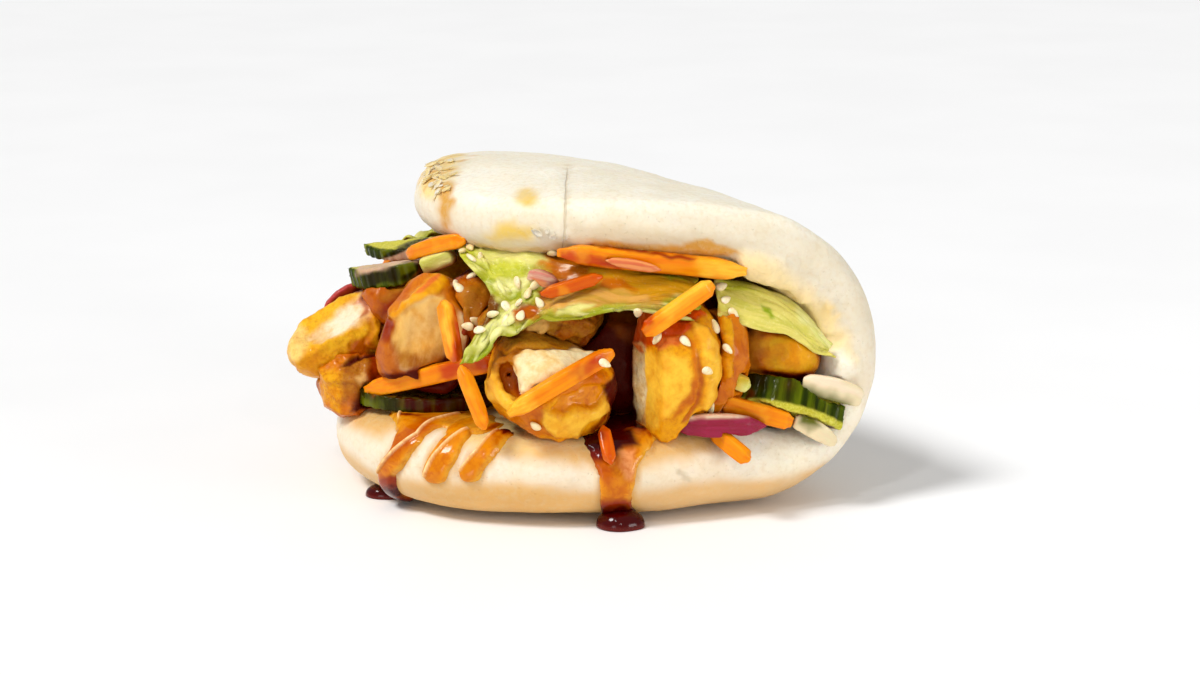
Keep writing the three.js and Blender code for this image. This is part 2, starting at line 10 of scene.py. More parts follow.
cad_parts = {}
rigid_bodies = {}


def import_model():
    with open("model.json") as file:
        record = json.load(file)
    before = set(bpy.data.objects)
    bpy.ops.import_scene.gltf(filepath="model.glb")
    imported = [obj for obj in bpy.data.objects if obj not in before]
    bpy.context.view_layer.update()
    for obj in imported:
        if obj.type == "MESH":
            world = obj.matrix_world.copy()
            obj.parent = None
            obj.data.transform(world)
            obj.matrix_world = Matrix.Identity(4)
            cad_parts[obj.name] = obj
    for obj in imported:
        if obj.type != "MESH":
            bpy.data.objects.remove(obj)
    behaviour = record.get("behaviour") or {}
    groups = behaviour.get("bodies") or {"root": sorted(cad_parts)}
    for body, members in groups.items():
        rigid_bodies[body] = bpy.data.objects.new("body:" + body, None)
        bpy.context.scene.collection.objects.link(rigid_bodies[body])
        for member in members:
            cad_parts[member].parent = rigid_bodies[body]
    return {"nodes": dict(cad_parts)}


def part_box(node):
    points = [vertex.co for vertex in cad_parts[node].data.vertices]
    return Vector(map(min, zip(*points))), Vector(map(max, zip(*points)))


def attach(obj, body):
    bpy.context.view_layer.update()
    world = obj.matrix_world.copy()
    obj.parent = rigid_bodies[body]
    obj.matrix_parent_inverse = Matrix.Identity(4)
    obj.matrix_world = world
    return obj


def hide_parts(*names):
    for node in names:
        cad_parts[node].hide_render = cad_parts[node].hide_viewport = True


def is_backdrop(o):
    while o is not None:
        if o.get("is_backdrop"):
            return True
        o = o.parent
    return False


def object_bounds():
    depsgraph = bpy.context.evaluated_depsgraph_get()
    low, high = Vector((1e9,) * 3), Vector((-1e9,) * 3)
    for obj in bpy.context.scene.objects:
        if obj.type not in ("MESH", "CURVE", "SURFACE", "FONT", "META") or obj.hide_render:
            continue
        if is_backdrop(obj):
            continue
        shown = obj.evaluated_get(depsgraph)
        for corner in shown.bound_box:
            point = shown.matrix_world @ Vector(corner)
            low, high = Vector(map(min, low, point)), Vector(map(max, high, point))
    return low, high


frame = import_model()
cad_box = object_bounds()

# A filled bao. Shapes are worked out in millimetres, from the same sizes as the solids, and
# to_row() brings them into the row's frame in metres.
MM = 0.001
CENTRE = np.array([0.1, 6.5, 0.0])

# The bun.
BUN_WIDTH = 105.0
FOLD_RADIUS = 29.2
FOLD_TURN = math.radians(163)
LOWER_RUN = 57.0
UPPER_RUN = 48.0
UPPER_RADIUS = 85.0
DOUGH_LOWER = 17.0
DOUGH_UPPER = 10.8
DOUGH_AT_FOLD = 9.0
DOUGH_GROWS_OVER = 45.0
CROWN = 1.5
FAR_DROOP = 5.0
NEAR_DROOP = 1.0
PUFF_FROM = -0.2
RIM_CURL = 1.6
CURL_FROM = 0.6
CURL_TO = 0.5
OVAL_POWER = 2.2
BUN_TURN = math.radians(-55)
BUN_PLACE = (6.0, 4.0)
FOLD_RUN = FOLD_RADIUS * FOLD_TURN
HALF_RUN = (LOWER_RUN + FOLD_RUN + UPPER_RUN) / 2

# A sesame seed's half length, width and thickness, how far its middle lies above its place, its
# rings, and the start of the random draws for all.
SEED_HALF = (1.5, 0.85, 0.55)
SEED_UP = 0.42
SEED_RING, SEED_RINGS = 14, 9
SEED_DRAWS = 7


def to_row(points):
    return (np.asarray(points, float) - CENTRE) * MM


def smooth(t):
    t = np.clip(t, 0.0, 1.0)
    return t * t * (3 - 2 * t)


def lerp(a, b, t):
    return a + (b - a) * t


def unit(v):
    v = np.asarray(v, float)
    return v / np.maximum(np.linalg.norm(v, axis=-1, keepdims=True), 1e-12)


def from_path(points, path):
    """Each point's distance from a path of straight stretches, or from its one place."""
    path = np.array(path, float)
    away = np.linalg.norm(points - path[0], axis=1)
    for a, b in zip(path[:-1], path[1:]):
        t = np.clip((points - a) @ (b - a) / ((b - a) @ (b - a)), 0, 1)[:, None]
        away = np.minimum(away, np.linalg.norm(points - a - t * (b - a), axis=1))
    return away


# The front view.
AIM = np.array([4.5, 0.0, 26.0])
CAMERA_AWAY = 600.0
CAMERA_UP = math.radians(14)
AHEAD = np.array([0, math.cos(CAMERA_UP), -math.sin(CAMERA_UP)])
UPWARD = np.array([0, math.sin(CAMERA_UP), math.cos(CAMERA_UP)])


def front_view(points):
    """How far right of the aim and above it points show from the front, in millimetres there."""
    from_aim = points - AIM
    scale = CAMERA_AWAY / (CAMERA_AWAY + from_aim @ AHEAD)
    return np.stack([from_aim[:, 0] * scale, from_aim @ UPWARD * scale], axis=1)


def within(places, outline):
    """How far inside an outline places of the front view lie, below 0 outside it."""
    outline = np.array(outline, float)
    nearest = np.full(len(places), np.inf)
    inside = np.zeros(len(places), bool)
    for start, end in zip(outline, np.roll(outline, -1, axis=0)):
        run = end - start
        part = np.clip((places - start) @ run / (run @ run), 0, 1)
        nearest = np.minimum(nearest, np.linalg.norm(places - start - part[:, None] * run, axis=1))
        rise = (places[:, 1] - start[1]) / (run[1] if run[1] else 1e-9)
        across = (start[1] > places[:, 1]) != (end[1] > places[:, 1])
        inside ^= across & (places[:, 0] < start[0] + rise * run[0])
    return np.where(inside, nearest, -nearest)


# Noise: values on a lattice, blended, from -1 to 1.
# Multipliers that scatter the numbers of a cell over all bits.
FOR_X, FOR_Y, FOR_Z, FOR_SEED = 73856093, 19349663, 83492791, 26544357
STIR_ONE, STIR_TWO = 1274126177, 461845907
ALL_BITS, SOME_BITS = 0x7FFFFFFF, 0xFFFF


def lattice(cell, seed):
    x, y, z = (cell[..., k] for k in range(3))
    n = x * FOR_X ^ y * FOR_Y ^ z * FOR_Z ^ (seed * FOR_SEED)
    n = (n ^ (n >> 13)) * STIR_ONE & ALL_BITS
    n = (n ^ (n >> 15)) * STIR_TWO & ALL_BITS
    return ((n >> 8) & SOME_BITS) / (SOME_BITS / 2) - 1.0


def noise(points, size, seed=0, octaves=1):
    total = np.zeros(len(points))
    share = 1.0
    for octave in range(octaves):
        q = points / (size / 2**octave)
        cell = np.floor(q).astype(np.int64)
        f = smooth(q - cell)
        for corner in itertools.product((0, 1), repeat=3):
            c = np.array(corner)
            weight = np.where(c == 1, f, 1 - f).prod(axis=-1)
            total += share * weight * lattice(cell + c, seed + octave)
        share *= 0.5
    return total


# Meshes as arrays of points in millimetres and of faces.
def vertex_normals(points, faces):
    normals = np.zeros_like(points)
    for face in faces:
        a, b, c = points[face[:, 0]], points[face[:, 1]], points[face[:, 2]]
        n = np.cross(b - a, c - a)
        if face.shape[1] == 4:
            n = np.cross(c - a, points[face[:, 3]] - b)
        for k in range(face.shape[1]):
            np.add.at(normals, face[:, k], n)
    return unit(normals)


def relaxed(points, faces, times, share=None):
    """Each point moves to the middle of its neighbours, times over, by a share that may differ."""
    sides = [face[:, [k, (k + 1) % face.shape[1]]] for face in faces for k in range(face.shape[1])]
    a, b = np.vstack(sides).T
    n = len(points)
    count = np.bincount(np.concatenate([a, b]), minlength=n)[:, None].clip(1)
    share = 1.0 if share is None else share[:, None]
    for _ in range(times):
        sums = [np.bincount(a, row[b], n) + np.bincount(b, row[a], n) for row in points.T]
        points = points + (np.stack(sums, axis=1) / count - points) * share
    return points


def tree_of(points, faces):
    return BVHTree.FromPolygons(points.tolist(), faces.tolist())


def solid_points(mesh):
    return np.array([v.co for v in mesh.vertices]) / MM + CENTRE


def linked(name, data):
    """Links an object with that data into the scene."""
    holder = bpy.data.objects.new(name, data)
    bpy.context.scene.collection.objects.link(holder)
    return holder


def net_faces(rows, columns):
    """A net's points as numbers in rows and columns, and its faces."""
    grid = np.arange(rows * columns).reshape(rows, columns)
    corners = [grid[:-1, :-1], grid[1:, :-1], grid[1:, 1:], grid[:-1, 1:]]
    return grid, np.stack(corners, axis=-1).reshape(-1, 4)


def round_grid(count, across):
    """Turns about an axis and places across it, for rings of count points each."""
    turn, place = np.meshgrid(np.arange(count) * 2 * np.pi / count, across)
    return turn.ravel(), place.ravel()


def ring_faces(rings, count):
    """The faces of a closed form: a first point, rings of count points, and a last point."""
    i = np.arange(count)
    j = (i + 1) % count
    r = np.arange(rings - 1)[:, None] * count + 1
    last = rings * count + 1
    quads = np.stack([r + i, r + count + i, r + count + j, r + j], axis=-1).reshape(-1, 4)
    start = np.stack([0 * i, 1 + i, 1 + j], axis=-1)
    end = np.stack([0 * i + last, last - count + j, last - count + i], axis=-1)
    return [quads, np.concatenate([start, end])]


def gathered(parts, rings, count):
    """Joins closed forms of rings into the points and faces of one piece."""
    starts = np.arange(len(parts)) * len(parts[0])
    faces = [np.vstack([face + start for start in starts]) for face in ring_faces(rings, count)]
    return np.vstack(parts), faces


def stood(points, at, normal, spin):
    """Points about the origin, put at a place with their Z along a normal and spun about it."""
    turn = Vector((0, 0, 1)).rotation_difference(Vector(normal)) @ Quaternion((0, 0, 1), spin)
    return points @ np.array(turn.to_matrix()).T + at


def make_piece(name, points, faces, material, fields, slot, replaces=()):
    mesh = bpy.data.meshes.new(name)
    lists = [tuple(map(int, row)) for face in faces for row in face]
    mesh.from_pydata(to_row(points).tolist(), [], lists)
    mesh.polygons.foreach_set("use_smooth", [True] * len(mesh.polygons))
    for field, values in fields.items():
        values = np.asarray(values, np.float32)
        kind, key = "FLOAT_VECTOR", "vector"
        if values.ndim == 1:
            kind, key = "FLOAT", "value"
        elif field == "tone":
            kind, key = "FLOAT_COLOR", "color"
            values = np.concatenate([values, np.ones((len(values), 1), np.float32)], axis=1)
        mesh.attributes.new(field, kind, "POINT").data.foreach_set(key, values.ravel())
    mesh.materials.append(material)
    mesh.update()
    piece = linked(name, mesh)
    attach(piece, "root")
    if replaces:
        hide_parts(*replaces)


# How sheltered a place is: the share of short rays out of it that meet a solid.
SHELTER_REACH = 8.0
SHELTER_LIFT = 0.6
WAY_COUNT = 26
AWAY_FROM_SURFACE = 0.15
SHELTER_BLUR = 4


def sphere_ways():
    step = np.arange(WAY_COUNT) + 0.5
    up = 1 - 2 * step / WAY_COUNT
    turn = step * math.pi * (3 - math.sqrt(5))
    flat = np.sqrt(1 - up * up)
    return np.stack([flat * np.cos(turn), flat * np.sin(turn), up], axis=1)


def solids_tree():
    points, faces, total = [], [], 0
    for node in frame["nodes"].values():
        node.data.calc_loop_triangles()
        points.append(solid_points(node.data))
        faces.append(np.array([tuple(t.vertices) for t in node.data.loop_triangles]) + total)
        total += len(points[-1])
    return tree_of(np.vstack(points), np.vstack(faces))


WAYS = sphere_ways()
SOLIDS = solids_tree()


def sheltered(points, normals, faces, where=None):
    """From 0, open, to 1, closed in. A ray that leaves a solid that it starts in doesn't count."""
    facing = normals @ WAYS.T > AWAY_FROM_SURFACE
    starts = points + SHELTER_LIFT * normals
    ways = [Vector(way) for way in WAYS]
    share = np.zeros(len(points))
    for i in np.arange(len(points)) if where is None else np.flatnonzero(where):
        start = Vector(starts[i])
        chosen = np.flatnonzero(facing[i])
        met = 0
        for k in chosen:
            _, normal, _, _ = SOLIDS.ray_cast(start, ways[k], SHELTER_REACH)
            met += normal is not None and normal.dot(ways[k]) < 0
        share[i] = met / max(len(chosen), 1)
    return relaxed(np.repeat(share[:, None], 3, axis=1), faces, SHELTER_BLUR)[:, 0]


# Shading.
def srgb(*rgb):
    c = np.array(rgb, float) / 255
    return np.where(c <= 0.04045, c / 12.92, ((c + 0.055) / 1.055) ** 2.4)


class Shader:
    """A material around one Principled shader, with texture space in millimetres."""

    def __init__(self, name, **fixed):
        self.material = bpy.data.materials.new(name)
        self.material.use_nodes = True
        self.tree = self.material.node_tree
        self.main = self.tree.nodes["Principled BSDF"].inputs
        for socket, value in fixed.items():
            self.put(self.main[socket.replace("_", " ")], value)
        place = self.node("TexCoord", {}, "Object")
        self.place = self.node("VectorMath", {0: place, "Scale": 1 / MM}, operation="SCALE")

    def put(self, socket, value):
        if isinstance(value, bpy.types.NodeSocket):
            self.tree.links.new(value, socket)
        elif socket.type == "RGBA":
            socket.default_value = (*value[:3], 1.0)
        else:
            socket.default_value = value

    def node(self, kind, inputs, output=0, **settings):
        """Adds a node, fills the inputs that are given, and returns one of its outputs."""
        node = self.tree.nodes.new("ShaderNode" + kind)
        for key, value in settings.items():
            setattr(node, key, value)
        for key, value in inputs.items():
            self.put(node.inputs[key], value)
        return node.outputs[output]

    def field(self, name, output="Fac"):
        return self.node("Attribute", {}, output, attribute_name=name)

    def ground(self):
        return self.field("tone", "Color")

    def fibre(self, *scale):
        """The place along, across and through the piece, stretched for streaks."""
        inputs = {0: self.field("fibre", "Vector"), 1: scale}
        return self.node("VectorMath", inputs, operation="MULTIPLY")

    def noise(self, size, detail=3.0, rough=0.55, place=None, distort=0.0):
        kind = {"Scale": 1 / size, "Detail": detail, "Roughness": rough, "Distortion": distort}
        return self.node("TexNoise", {"Vector": place or self.place, **kind})

    def cells(self, size, feature="F1", place=None):
        inputs = {"Vector": place or self.place, "Scale": 1 / size}
        return self.node("TexVoronoi", inputs, "Distance", feature=feature)

    def span(self, value, low, high, to_low=0.0, to_high=1.0):
        """to_low where value is low, to_high where it is high, and smooth between."""
        inputs = {"Value": value, "From Min": low, "From Max": high}
        inputs.update({"To Min": to_low, "To Max": to_high})
        return self.node("MapRange", inputs, "Result", interpolation_type="SMOOTHSTEP")

    def math(self, operation, a, b=0.0):
        return self.node("Math", {0: a, 1: b}, operation=operation)

    def times(self, a, b):
        return self.math("MULTIPLY", a, b)

    def mix(self, share, a, b, blend="MIX"):
        return self.node("Mix", {0: share, 6: a, 7: b}, 2, data_type="RGBA", blend_type=blend)

    def tinge(self, share, a, b):
        return self.mix(share, a, b, "MULTIPLY")

    def blend(self, share, a, b):
        return self.node("Mix", {0: share, 2: a, 3: b}, data_type="FLOAT")

    def bump(self, height, depth, *under):
        """depth is how far in millimetres the surface seems to rise where height goes from 0 to 1."""
        inputs = {"Strength": 1.0, "Distance": depth * MM, "Height": height}
        return self.node("Bump", {**inputs, **{"Normal": normal for normal in under}})

    def finish(self, colour, rough, normal):
        for socket, value in (("Base Color", colour), ("Roughness", rough), ("Normal", normal)):
            self.put(self.main[socket], value)
        return self.material


COAT_IOR = 1.38
WARM_GLOSS = (1.0, 0.85, 0.6)
GREEN_GLOSS = (1.0, 1.0, 0.7)
# The crease along the top: how it leans and where it lies, in millimetres.
CREASE_LEAN = 0.046
CREASE_AT = -4.7
CREASE_HALF = 0.05, 0.3
CREASE_UP_FROM = 45, 50
CREASE_BACK_TO = -20, -6
# A noise strays by about this much to either side of it.
NOISE_MIDDLE = 0.5


def flesh(name, weight, reach, radius, level, **more):
    """A shader of food that light sinks into, reach millimetres deep."""
    more.update(Subsurface_Weight=weight, Subsurface_Scale=reach * MM, Subsurface_Radius=radius)
    return Shader(name, Specular_IOR_Level=level, **more)


def dough_material():
    s = flesh("steamed_dough", 0.3, 1.4, (1.0, 0.72, 0.42), 0.22)
    wide = s.noise(9, 3)
    fine = s.noise(1.1, 4, 0.6)
    pores = s.span(s.cells(0.9), 0.02, 0.2)
    specks = s.span(s.cells(2.1), 0.03, 0.1, 0.55, 0.0)
    tone = s.tinge(s.span(wide, 0.35, 0.7, 0.0, 0.5), s.ground(), srgb(250, 243, 228))
    tone = s.mix(s.span(fine, 0.42, 0.72, 0.0, 0.3), tone, srgb(216, 192, 152))
    tone = s.mix(s.times(specks, s.field("specks")), tone, srgb(190, 150, 88))
    x, y, z = (s.node("SeparateXYZ", {0: s.place}, axis) for axis in "XYZ")
    aside = s.math("ADD", s.math("SUBTRACT", x, s.times(z, CREASE_LEAN)), s.noise(7, 3))
    aside = s.math("ABSOLUTE", s.math("SUBTRACT", aside, CREASE_AT + NOISE_MIDDLE))
    ends = s.times(s.span(z, *CREASE_UP_FROM), s.span(y, *CREASE_BACK_TO, 1.0, 0.0))
    crease_groove_and_shade = s.times(s.span(aside, *CREASE_HALF, 1.0, 0.0), ends)
    # Painted shade: the crease line is darkened, and also sunk as a groove.
    tone = s.mix(s.times(crease_groove_and_shade, 0.4), tone, srgb(190, 164, 126))
    height = s.math("ADD", s.times(fine, 0.6), s.times(pores, 0.4))
    height = s.math("SUBTRACT", height, s.times(crease_groove_and_shade, 0.6))
    rough = s.blend(s.field("wet"), s.span(fine, 0.2, 0.8, 0.42, 0.6), 0.16)
    return s.finish(tone, rough, s.bump(height, 0.26, s.bump(wide, 0.3)))


def sauce_material():
    coat = {"Coat_Weight": 0.3, "Coat_Roughness": 0.03, "Coat_IOR": COAT_IOR}
    s = Shader("amber_sauce", Specular_IOR_Level=0.12, **coat)
    ripple = s.noise(1.3, 2)
    pooled = s.span(s.noise(1.8, 3, 0.6, distort=1.0), 0.4, 0.7, 0.0, 0.6)
    tone = s.tinge(pooled, s.ground(), srgb(226, 170, 110))
    return s.finish(tone, s.span(ripple, 0.3, 0.8, 0.1, 0.22), s.bump(ripple, 0.05))


def fried_material():
    gloss = {"Specular_Tint": WARM_GLOSS, "Coat_Roughness": 0.05, "Coat_IOR": COAT_IOR}
    s = flesh("fried_chicken", 0.1, 0.8, (1.0, 0.5, 0.15), 0.12, **gloss)
    wet, cut = s.field("wet"), s.field("cut")
    wide = s.noise(4.5, 4, 0.6)
    fine = s.noise(0.75, 5, 0.65)
    bubbles = s.cells(1.3, "SMOOTH_F1")
    grain = s.noise(0.8, 4, 0.6, s.fibre(0.4, 1.0, 1.0))
    tone = s.tinge(s.span(wide, 0.42, 0.66, 0.0, 0.8), s.ground(), srgb(238, 208, 150))
    dry = s.times(s.math("SUBTRACT", 1.0, wet), s.field("coarse"))
    tone = s.tinge(s.times(s.span(fine, 0.45, 0.7), dry), tone, srgb(206, 144, 70))
    pooled = s.span(s.noise(2.4, 3, 0.6, distort=1.2), 0.44, 0.68, 0.0, 0.5)
    tone = s.tinge(s.times(pooled, wet), tone, srgb(206, 138, 70))
    tone = s.mix(s.times(s.span(s.noise(0.5, 2), 0.7, 0.78, 0.0, 0.6), dry), tone, srgb(120, 60, 8))
    tone = s.mix(s.times(s.span(grain, 0.4, 0.7, 0.0, 0.18), cut), tone, srgb(236, 196, 120))
    relief = s.math("ADD", s.times(fine, 0.5), s.times(bubbles, 0.6))
    relief = s.times(relief, s.math("ADD", s.times(dry, 1.2), 0.2))
    relief = s.math("ADD", relief, s.times(grain, s.times(cut, 0.08)))
    light = s.node("RGBToBW", {0: tone})
    s.put(s.main["Coat Weight"], s.times(wet, s.span(light, 0.03, 0.16, 0.1, 0.4)))
    rough = s.blend(wet, s.span(fine, 0.3, 0.7, 0.4, 0.62), 0.12)
    return s.finish(tone, rough, s.bump(relief, 0.6))


def leaf_material():
    gloss = {"Specular_Tint": GREEN_GLOSS, "Coat_Roughness": 0.06, "Coat_IOR": COAT_IOR}
    s = flesh("lettuce", 0.3, 1.2, (0.9, 1.0, 0.2), 0.15, **gloss)
    streak = s.noise(1.5, 4, 0.6, s.fibre(0.2, 1.0, 1.0), 0.3)
    fine = s.noise(0.55, 3)
    wet = s.field("wet")
    dry = s.math("SUBTRACT", 1.0, wet)
    tone = s.tinge(s.span(streak, 0.38, 0.68, 0.0, 0.75), s.ground(), srgb(218, 228, 148))
    tone = s.mix(s.times(dry, s.span(fine, 0.55, 0.75, 0.0, 0.35)), tone, srgb(240, 236, 170))
    s.put(s.main["Coat Weight"], s.times(wet, 0.2))
    rough = s.blend(wet, s.span(fine, 0.3, 0.7, 0.3, 0.45), 0.12)
    height = s.times(streak, s.blend(wet, 1.0, 0.3))
    return s.finish(tone, rough, s.bump(s.times(fine, dry), 0.04, s.bump(height, 0.45)))


def carrot_material():
    gloss = {"Specular_Tint": WARM_GLOSS, "Coat_Roughness": 0.06, "Coat_IOR": COAT_IOR}
    s = flesh("carrot", 0.2, 1.0, (1.0, 0.4, 0.05), 0.15, **gloss)
    grain = s.noise(0.6, 4, 0.6, s.fibre(0.06, 1.0, 1.0))
    wet = s.field("wet")
    tone = s.tinge(s.span(grain, 0.35, 0.7), s.ground(), srgb(250, 214, 150))
    tone = s.mix(s.span(s.noise(5, 2), 0.5, 0.7, 0.0, 0.35), tone, srgb(252, 184, 40))
    s.put(s.main["Coat Weight"], s.blend(wet, 0.1, 0.25))
    rough = s.blend(wet, s.span(grain, 0.3, 0.7, 0.25, 0.4), 0.12)
    return s.finish(tone, rough, s.bump(grain, 0.05))


def onion_material():
    coat = {"Coat_Weight": 0.2, "Coat_Roughness": 0.05, "Coat_IOR": COAT_IOR}
    s = flesh("red_onion", 0.3, 1.0, (1.0, 0.5, 0.5), 0.2, **coat)
    veins = s.noise(0.6, 4, 0.55, s.fibre(0.06, 1.0, 1.0))
    share = s.times(s.span(veins, 0.35, 0.65), s.field("veins"))
    tone = s.tinge(share, s.ground(), srgb(236, 176, 184))
    return s.finish(tone, s.span(veins, 0.3, 0.7, 0.18, 0.32), s.bump(veins, 0.06))


def cucumber_material():
    coat = {"Coat_Weight": 0.12, "Coat_Roughness": 0.05, "Coat_IOR": COAT_IOR}
    s = flesh("cucumber", 0.12, 1.0, (0.8, 1.0, 0.2), 0.08, Specular_Tint=GREEN_GLOSS, **coat)
    streaks = s.noise(1.5, 3, 0.55, s.fibre(1.0, 1.0, 0.14), 0.3)
    wide = s.noise(3.2, 2, 0.5, s.fibre(1.0, 1.0, 0.2))
    fine = s.noise(0.4, 3)
    skin = s.mix(s.span(streaks, 0.35, 0.68), srgb(30, 42, 0), srgb(78, 92, 2))
    skin = s.mix(s.span(wide, 0.54, 0.7, 0.0, 0.7), skin, srgb(132, 138, 20))
    inside = s.mix(s.span(fine, 0.3, 0.7), srgb(212, 204, 84), srgb(184, 176, 44))
    seeds = s.span(s.cells(2.4, place=s.fibre(1.0, 0.6, 1.0)), 0.12, 0.3, 1.0, 0.0)
    inside = s.mix(s.times(seeds, s.field("core")), inside, srgb(238, 230, 150))
    tone = s.mix(s.field("skin"), inside, skin)
    cover = s.times(s.field("cover"), s.span(streaks, 0.3, 0.7, 1.0, 0.75))
    tone = s.mix(cover, tone, s.ground())
    # Wet places darken to red: sauce, and, where the wetness comes from shelter, painted shade.
    glaze = s.field("wet")
    tone = s.mix(s.span(glaze, 0.0, 0.6, 0.0, 0.8), tone, srgb(100, 40, 2))
    tone = s.mix(s.span(glaze, 0.5, 1.0, 0.0, 0.9), tone, srgb(36, 4, 1))
    return s.finish(tone, s.span(fine, 0.3, 0.7, 0.14, 0.28), s.bump(streaks, 0.1))


def seed_material():
    s = Shader("sesame", Subsurface_Weight=0.15, Subsurface_Scale=0.4 * MM, Specular_IOR_Level=0.35)
    fine = s.noise(0.5, 3)
    tone = s.mix(s.span(s.noise(3.0, 1), 0.35, 0.7), srgb(246, 234, 196), srgb(236, 212, 150))
    tone = s.mix(s.span(fine, 0.5, 0.75, 0.0, 0.5), tone, srgb(214, 174, 100))
    return s.finish(tone, 0.35, s.bump(fine, 0.06))


DOUGH = dough_material()
SAUCE = sauce_material()
FRIED = fried_material()
LETTUCE = leaf_material()
CARROT = carrot_material()
ONION = onion_material()
CUCUMBER = cucumber_material()
SESAME = seed_material()


# Colours laid on: red, green, blue and how wet each looks.
TINT_VALUES = {
    "lemon": (240, 184, 30, 0.3),
    "gold": (230, 160, 10, 0.35),
    "mustard": (208, 158, 20, 0.3),
    "olive": (178, 122, 26, 0.15),
    "pale": (244, 220, 166, 0.1),
    "tan": (232, 186, 110, 0.15),
    "amber": (206, 114, 4, 0.8),
    "rust": (146, 46, 0, 0.9),
    "dark": (58, 4, 0, 0.7),
    # painted shadow: a pinkish shade on pale meat under a crust's edge
    "pink": (214, 150, 120, 0.6),
    "orange": (238, 146, 12, 0.2),
    "deep_orange": (206, 92, 2, 0.6),
    "purple": (150, 24, 62, 0.4),
    "blush": (230, 214, 172, 0.4),
    "rose": (186, 70, 60, 0.6),
    "leaf": (172, 168, 44, 0.15),
    "leaf_pale": (220, 212, 126, 0.1),
    "leaf_rib": (232, 226, 156, 0.1),
    "leaf_deep": (148, 164, 22, 0.2),
    "honey": (206, 144, 18, 0.8),
    "caramel": (212, 156, 72, 0.9),
    # painted light: a lighter cream where light falls strongly
    "milk": (242, 236, 218, 0.05),
    "cream": (228, 218, 196, 0.0),
    "warm": (234, 220, 196, 0.0),
    # painted shade: tan for low and shaded dough
    "crust": (220, 174, 106, 0.0),
    # painted shade and bounced light: yellow for the inner fold beside the filling
    "inside": (234, 200, 104, 0.1),
    "stain": (236, 208, 140, 0.15),
    "yolk": (228, 194, 96, 0.2),
    "syrup": (210, 156, 70, 0.4),
    "shade": (214, 198, 170, 0.0),
    "straw": (246, 206, 116, 0.2),
    "peel": (240, 222, 190, 0.15),
    "bronze": (178, 112, 22, 0.45),
    "glaze": (188, 98, 4, 0.8),
    "face": (238, 188, 98, 0.2),
    "sun": (244, 190, 56, 0.35),
    "coral": (226, 116, 44, 0.7),
    "fire": (196, 70, 4, 0.9),
    "meat": (242, 224, 176, 0.1),
    # dark red sauce in gaps and hollows, its darkness partly painted shade
    "maroon": (78, 6, 0, 0.15),
    "olive_yellow": (226, 186, 60, 0.2),
    "umber": (116, 62, 4, 0.4),
    "coral_pale": (224, 146, 84, 0.9),
    # onion colour, and a painted sheen on cucumber tops
    "veil": (214, 172, 142, 0.9),
    "pine": (34, 26, 0, 0.7),
    "pine_pale": (92, 96, 6, 0.6),
    "leaf_bright": (222, 208, 110, 0.3),
    "leaf_lime": (198, 196, 64, 0.2),
    "sauce_thin": (224, 162, 44, 0.9),
    "sauce": (218, 134, 4, 1.0),
    "sauce_brown": (186, 88, 0, 1.0),
    "sauce_dark": (112, 18, 0, 1.0),
    "drop": (64, 0, 0, 1.0),
    # painted highlight: pale cream on the crests of sauce threads
    "thread_crest_and_highlight": (250, 212, 150, 0.8),
}
TINTS = {name: (srgb(*rgb), wet) for name, (*rgb, wet) in TINT_VALUES.items()}


def tinted(tone, tint, share):
    """tone, turned at each point by a share to a tint."""
    return lerp(tone, TINTS[tint][0], share[:, None])


def coated(tone, wet, tint, share):
    """tone and wetness, both turned at each point by a share to a tint's."""
    return tinted(tone, tint, share), lerp(wet, TINTS[tint][1], share)


def lay(points, tone, wet, strokes, seed):
    """Adds strokes of colour: (tint, half width, path) each, with ragged edges."""
    ragged = 0.3 * noise(points, 2.0, seed, 3)
    for tint, half, path in strokes:
        share = smooth((1 + ragged - from_path(points, path) / half) / (0.4 + 0.5 * TINTS[tint][1]))
        tone, wet = coated(tone, wet, tint, share)
    return tone, wet


def base_coat(points, tint):
    colour, gloss = TINTS[tint]
    return np.tile(colour, (len(points), 1)), np.full(len(points), gloss)


def raised(points, lines):
    """The height that ridges, or below 0 grooves, add: (height, half width, path) each."""
    total = np.zeros(len(points))
    for height, half, path in lines:
        total += height * smooth(1 - from_path(points, path) / half)
    return total


# How far a patch's edge strays, and tints under which a crust is smooth.
PATCH_WARP = 0.5
CALM_TINTS = ("meat", "face", "tan", "peel", "sun", "glaze")
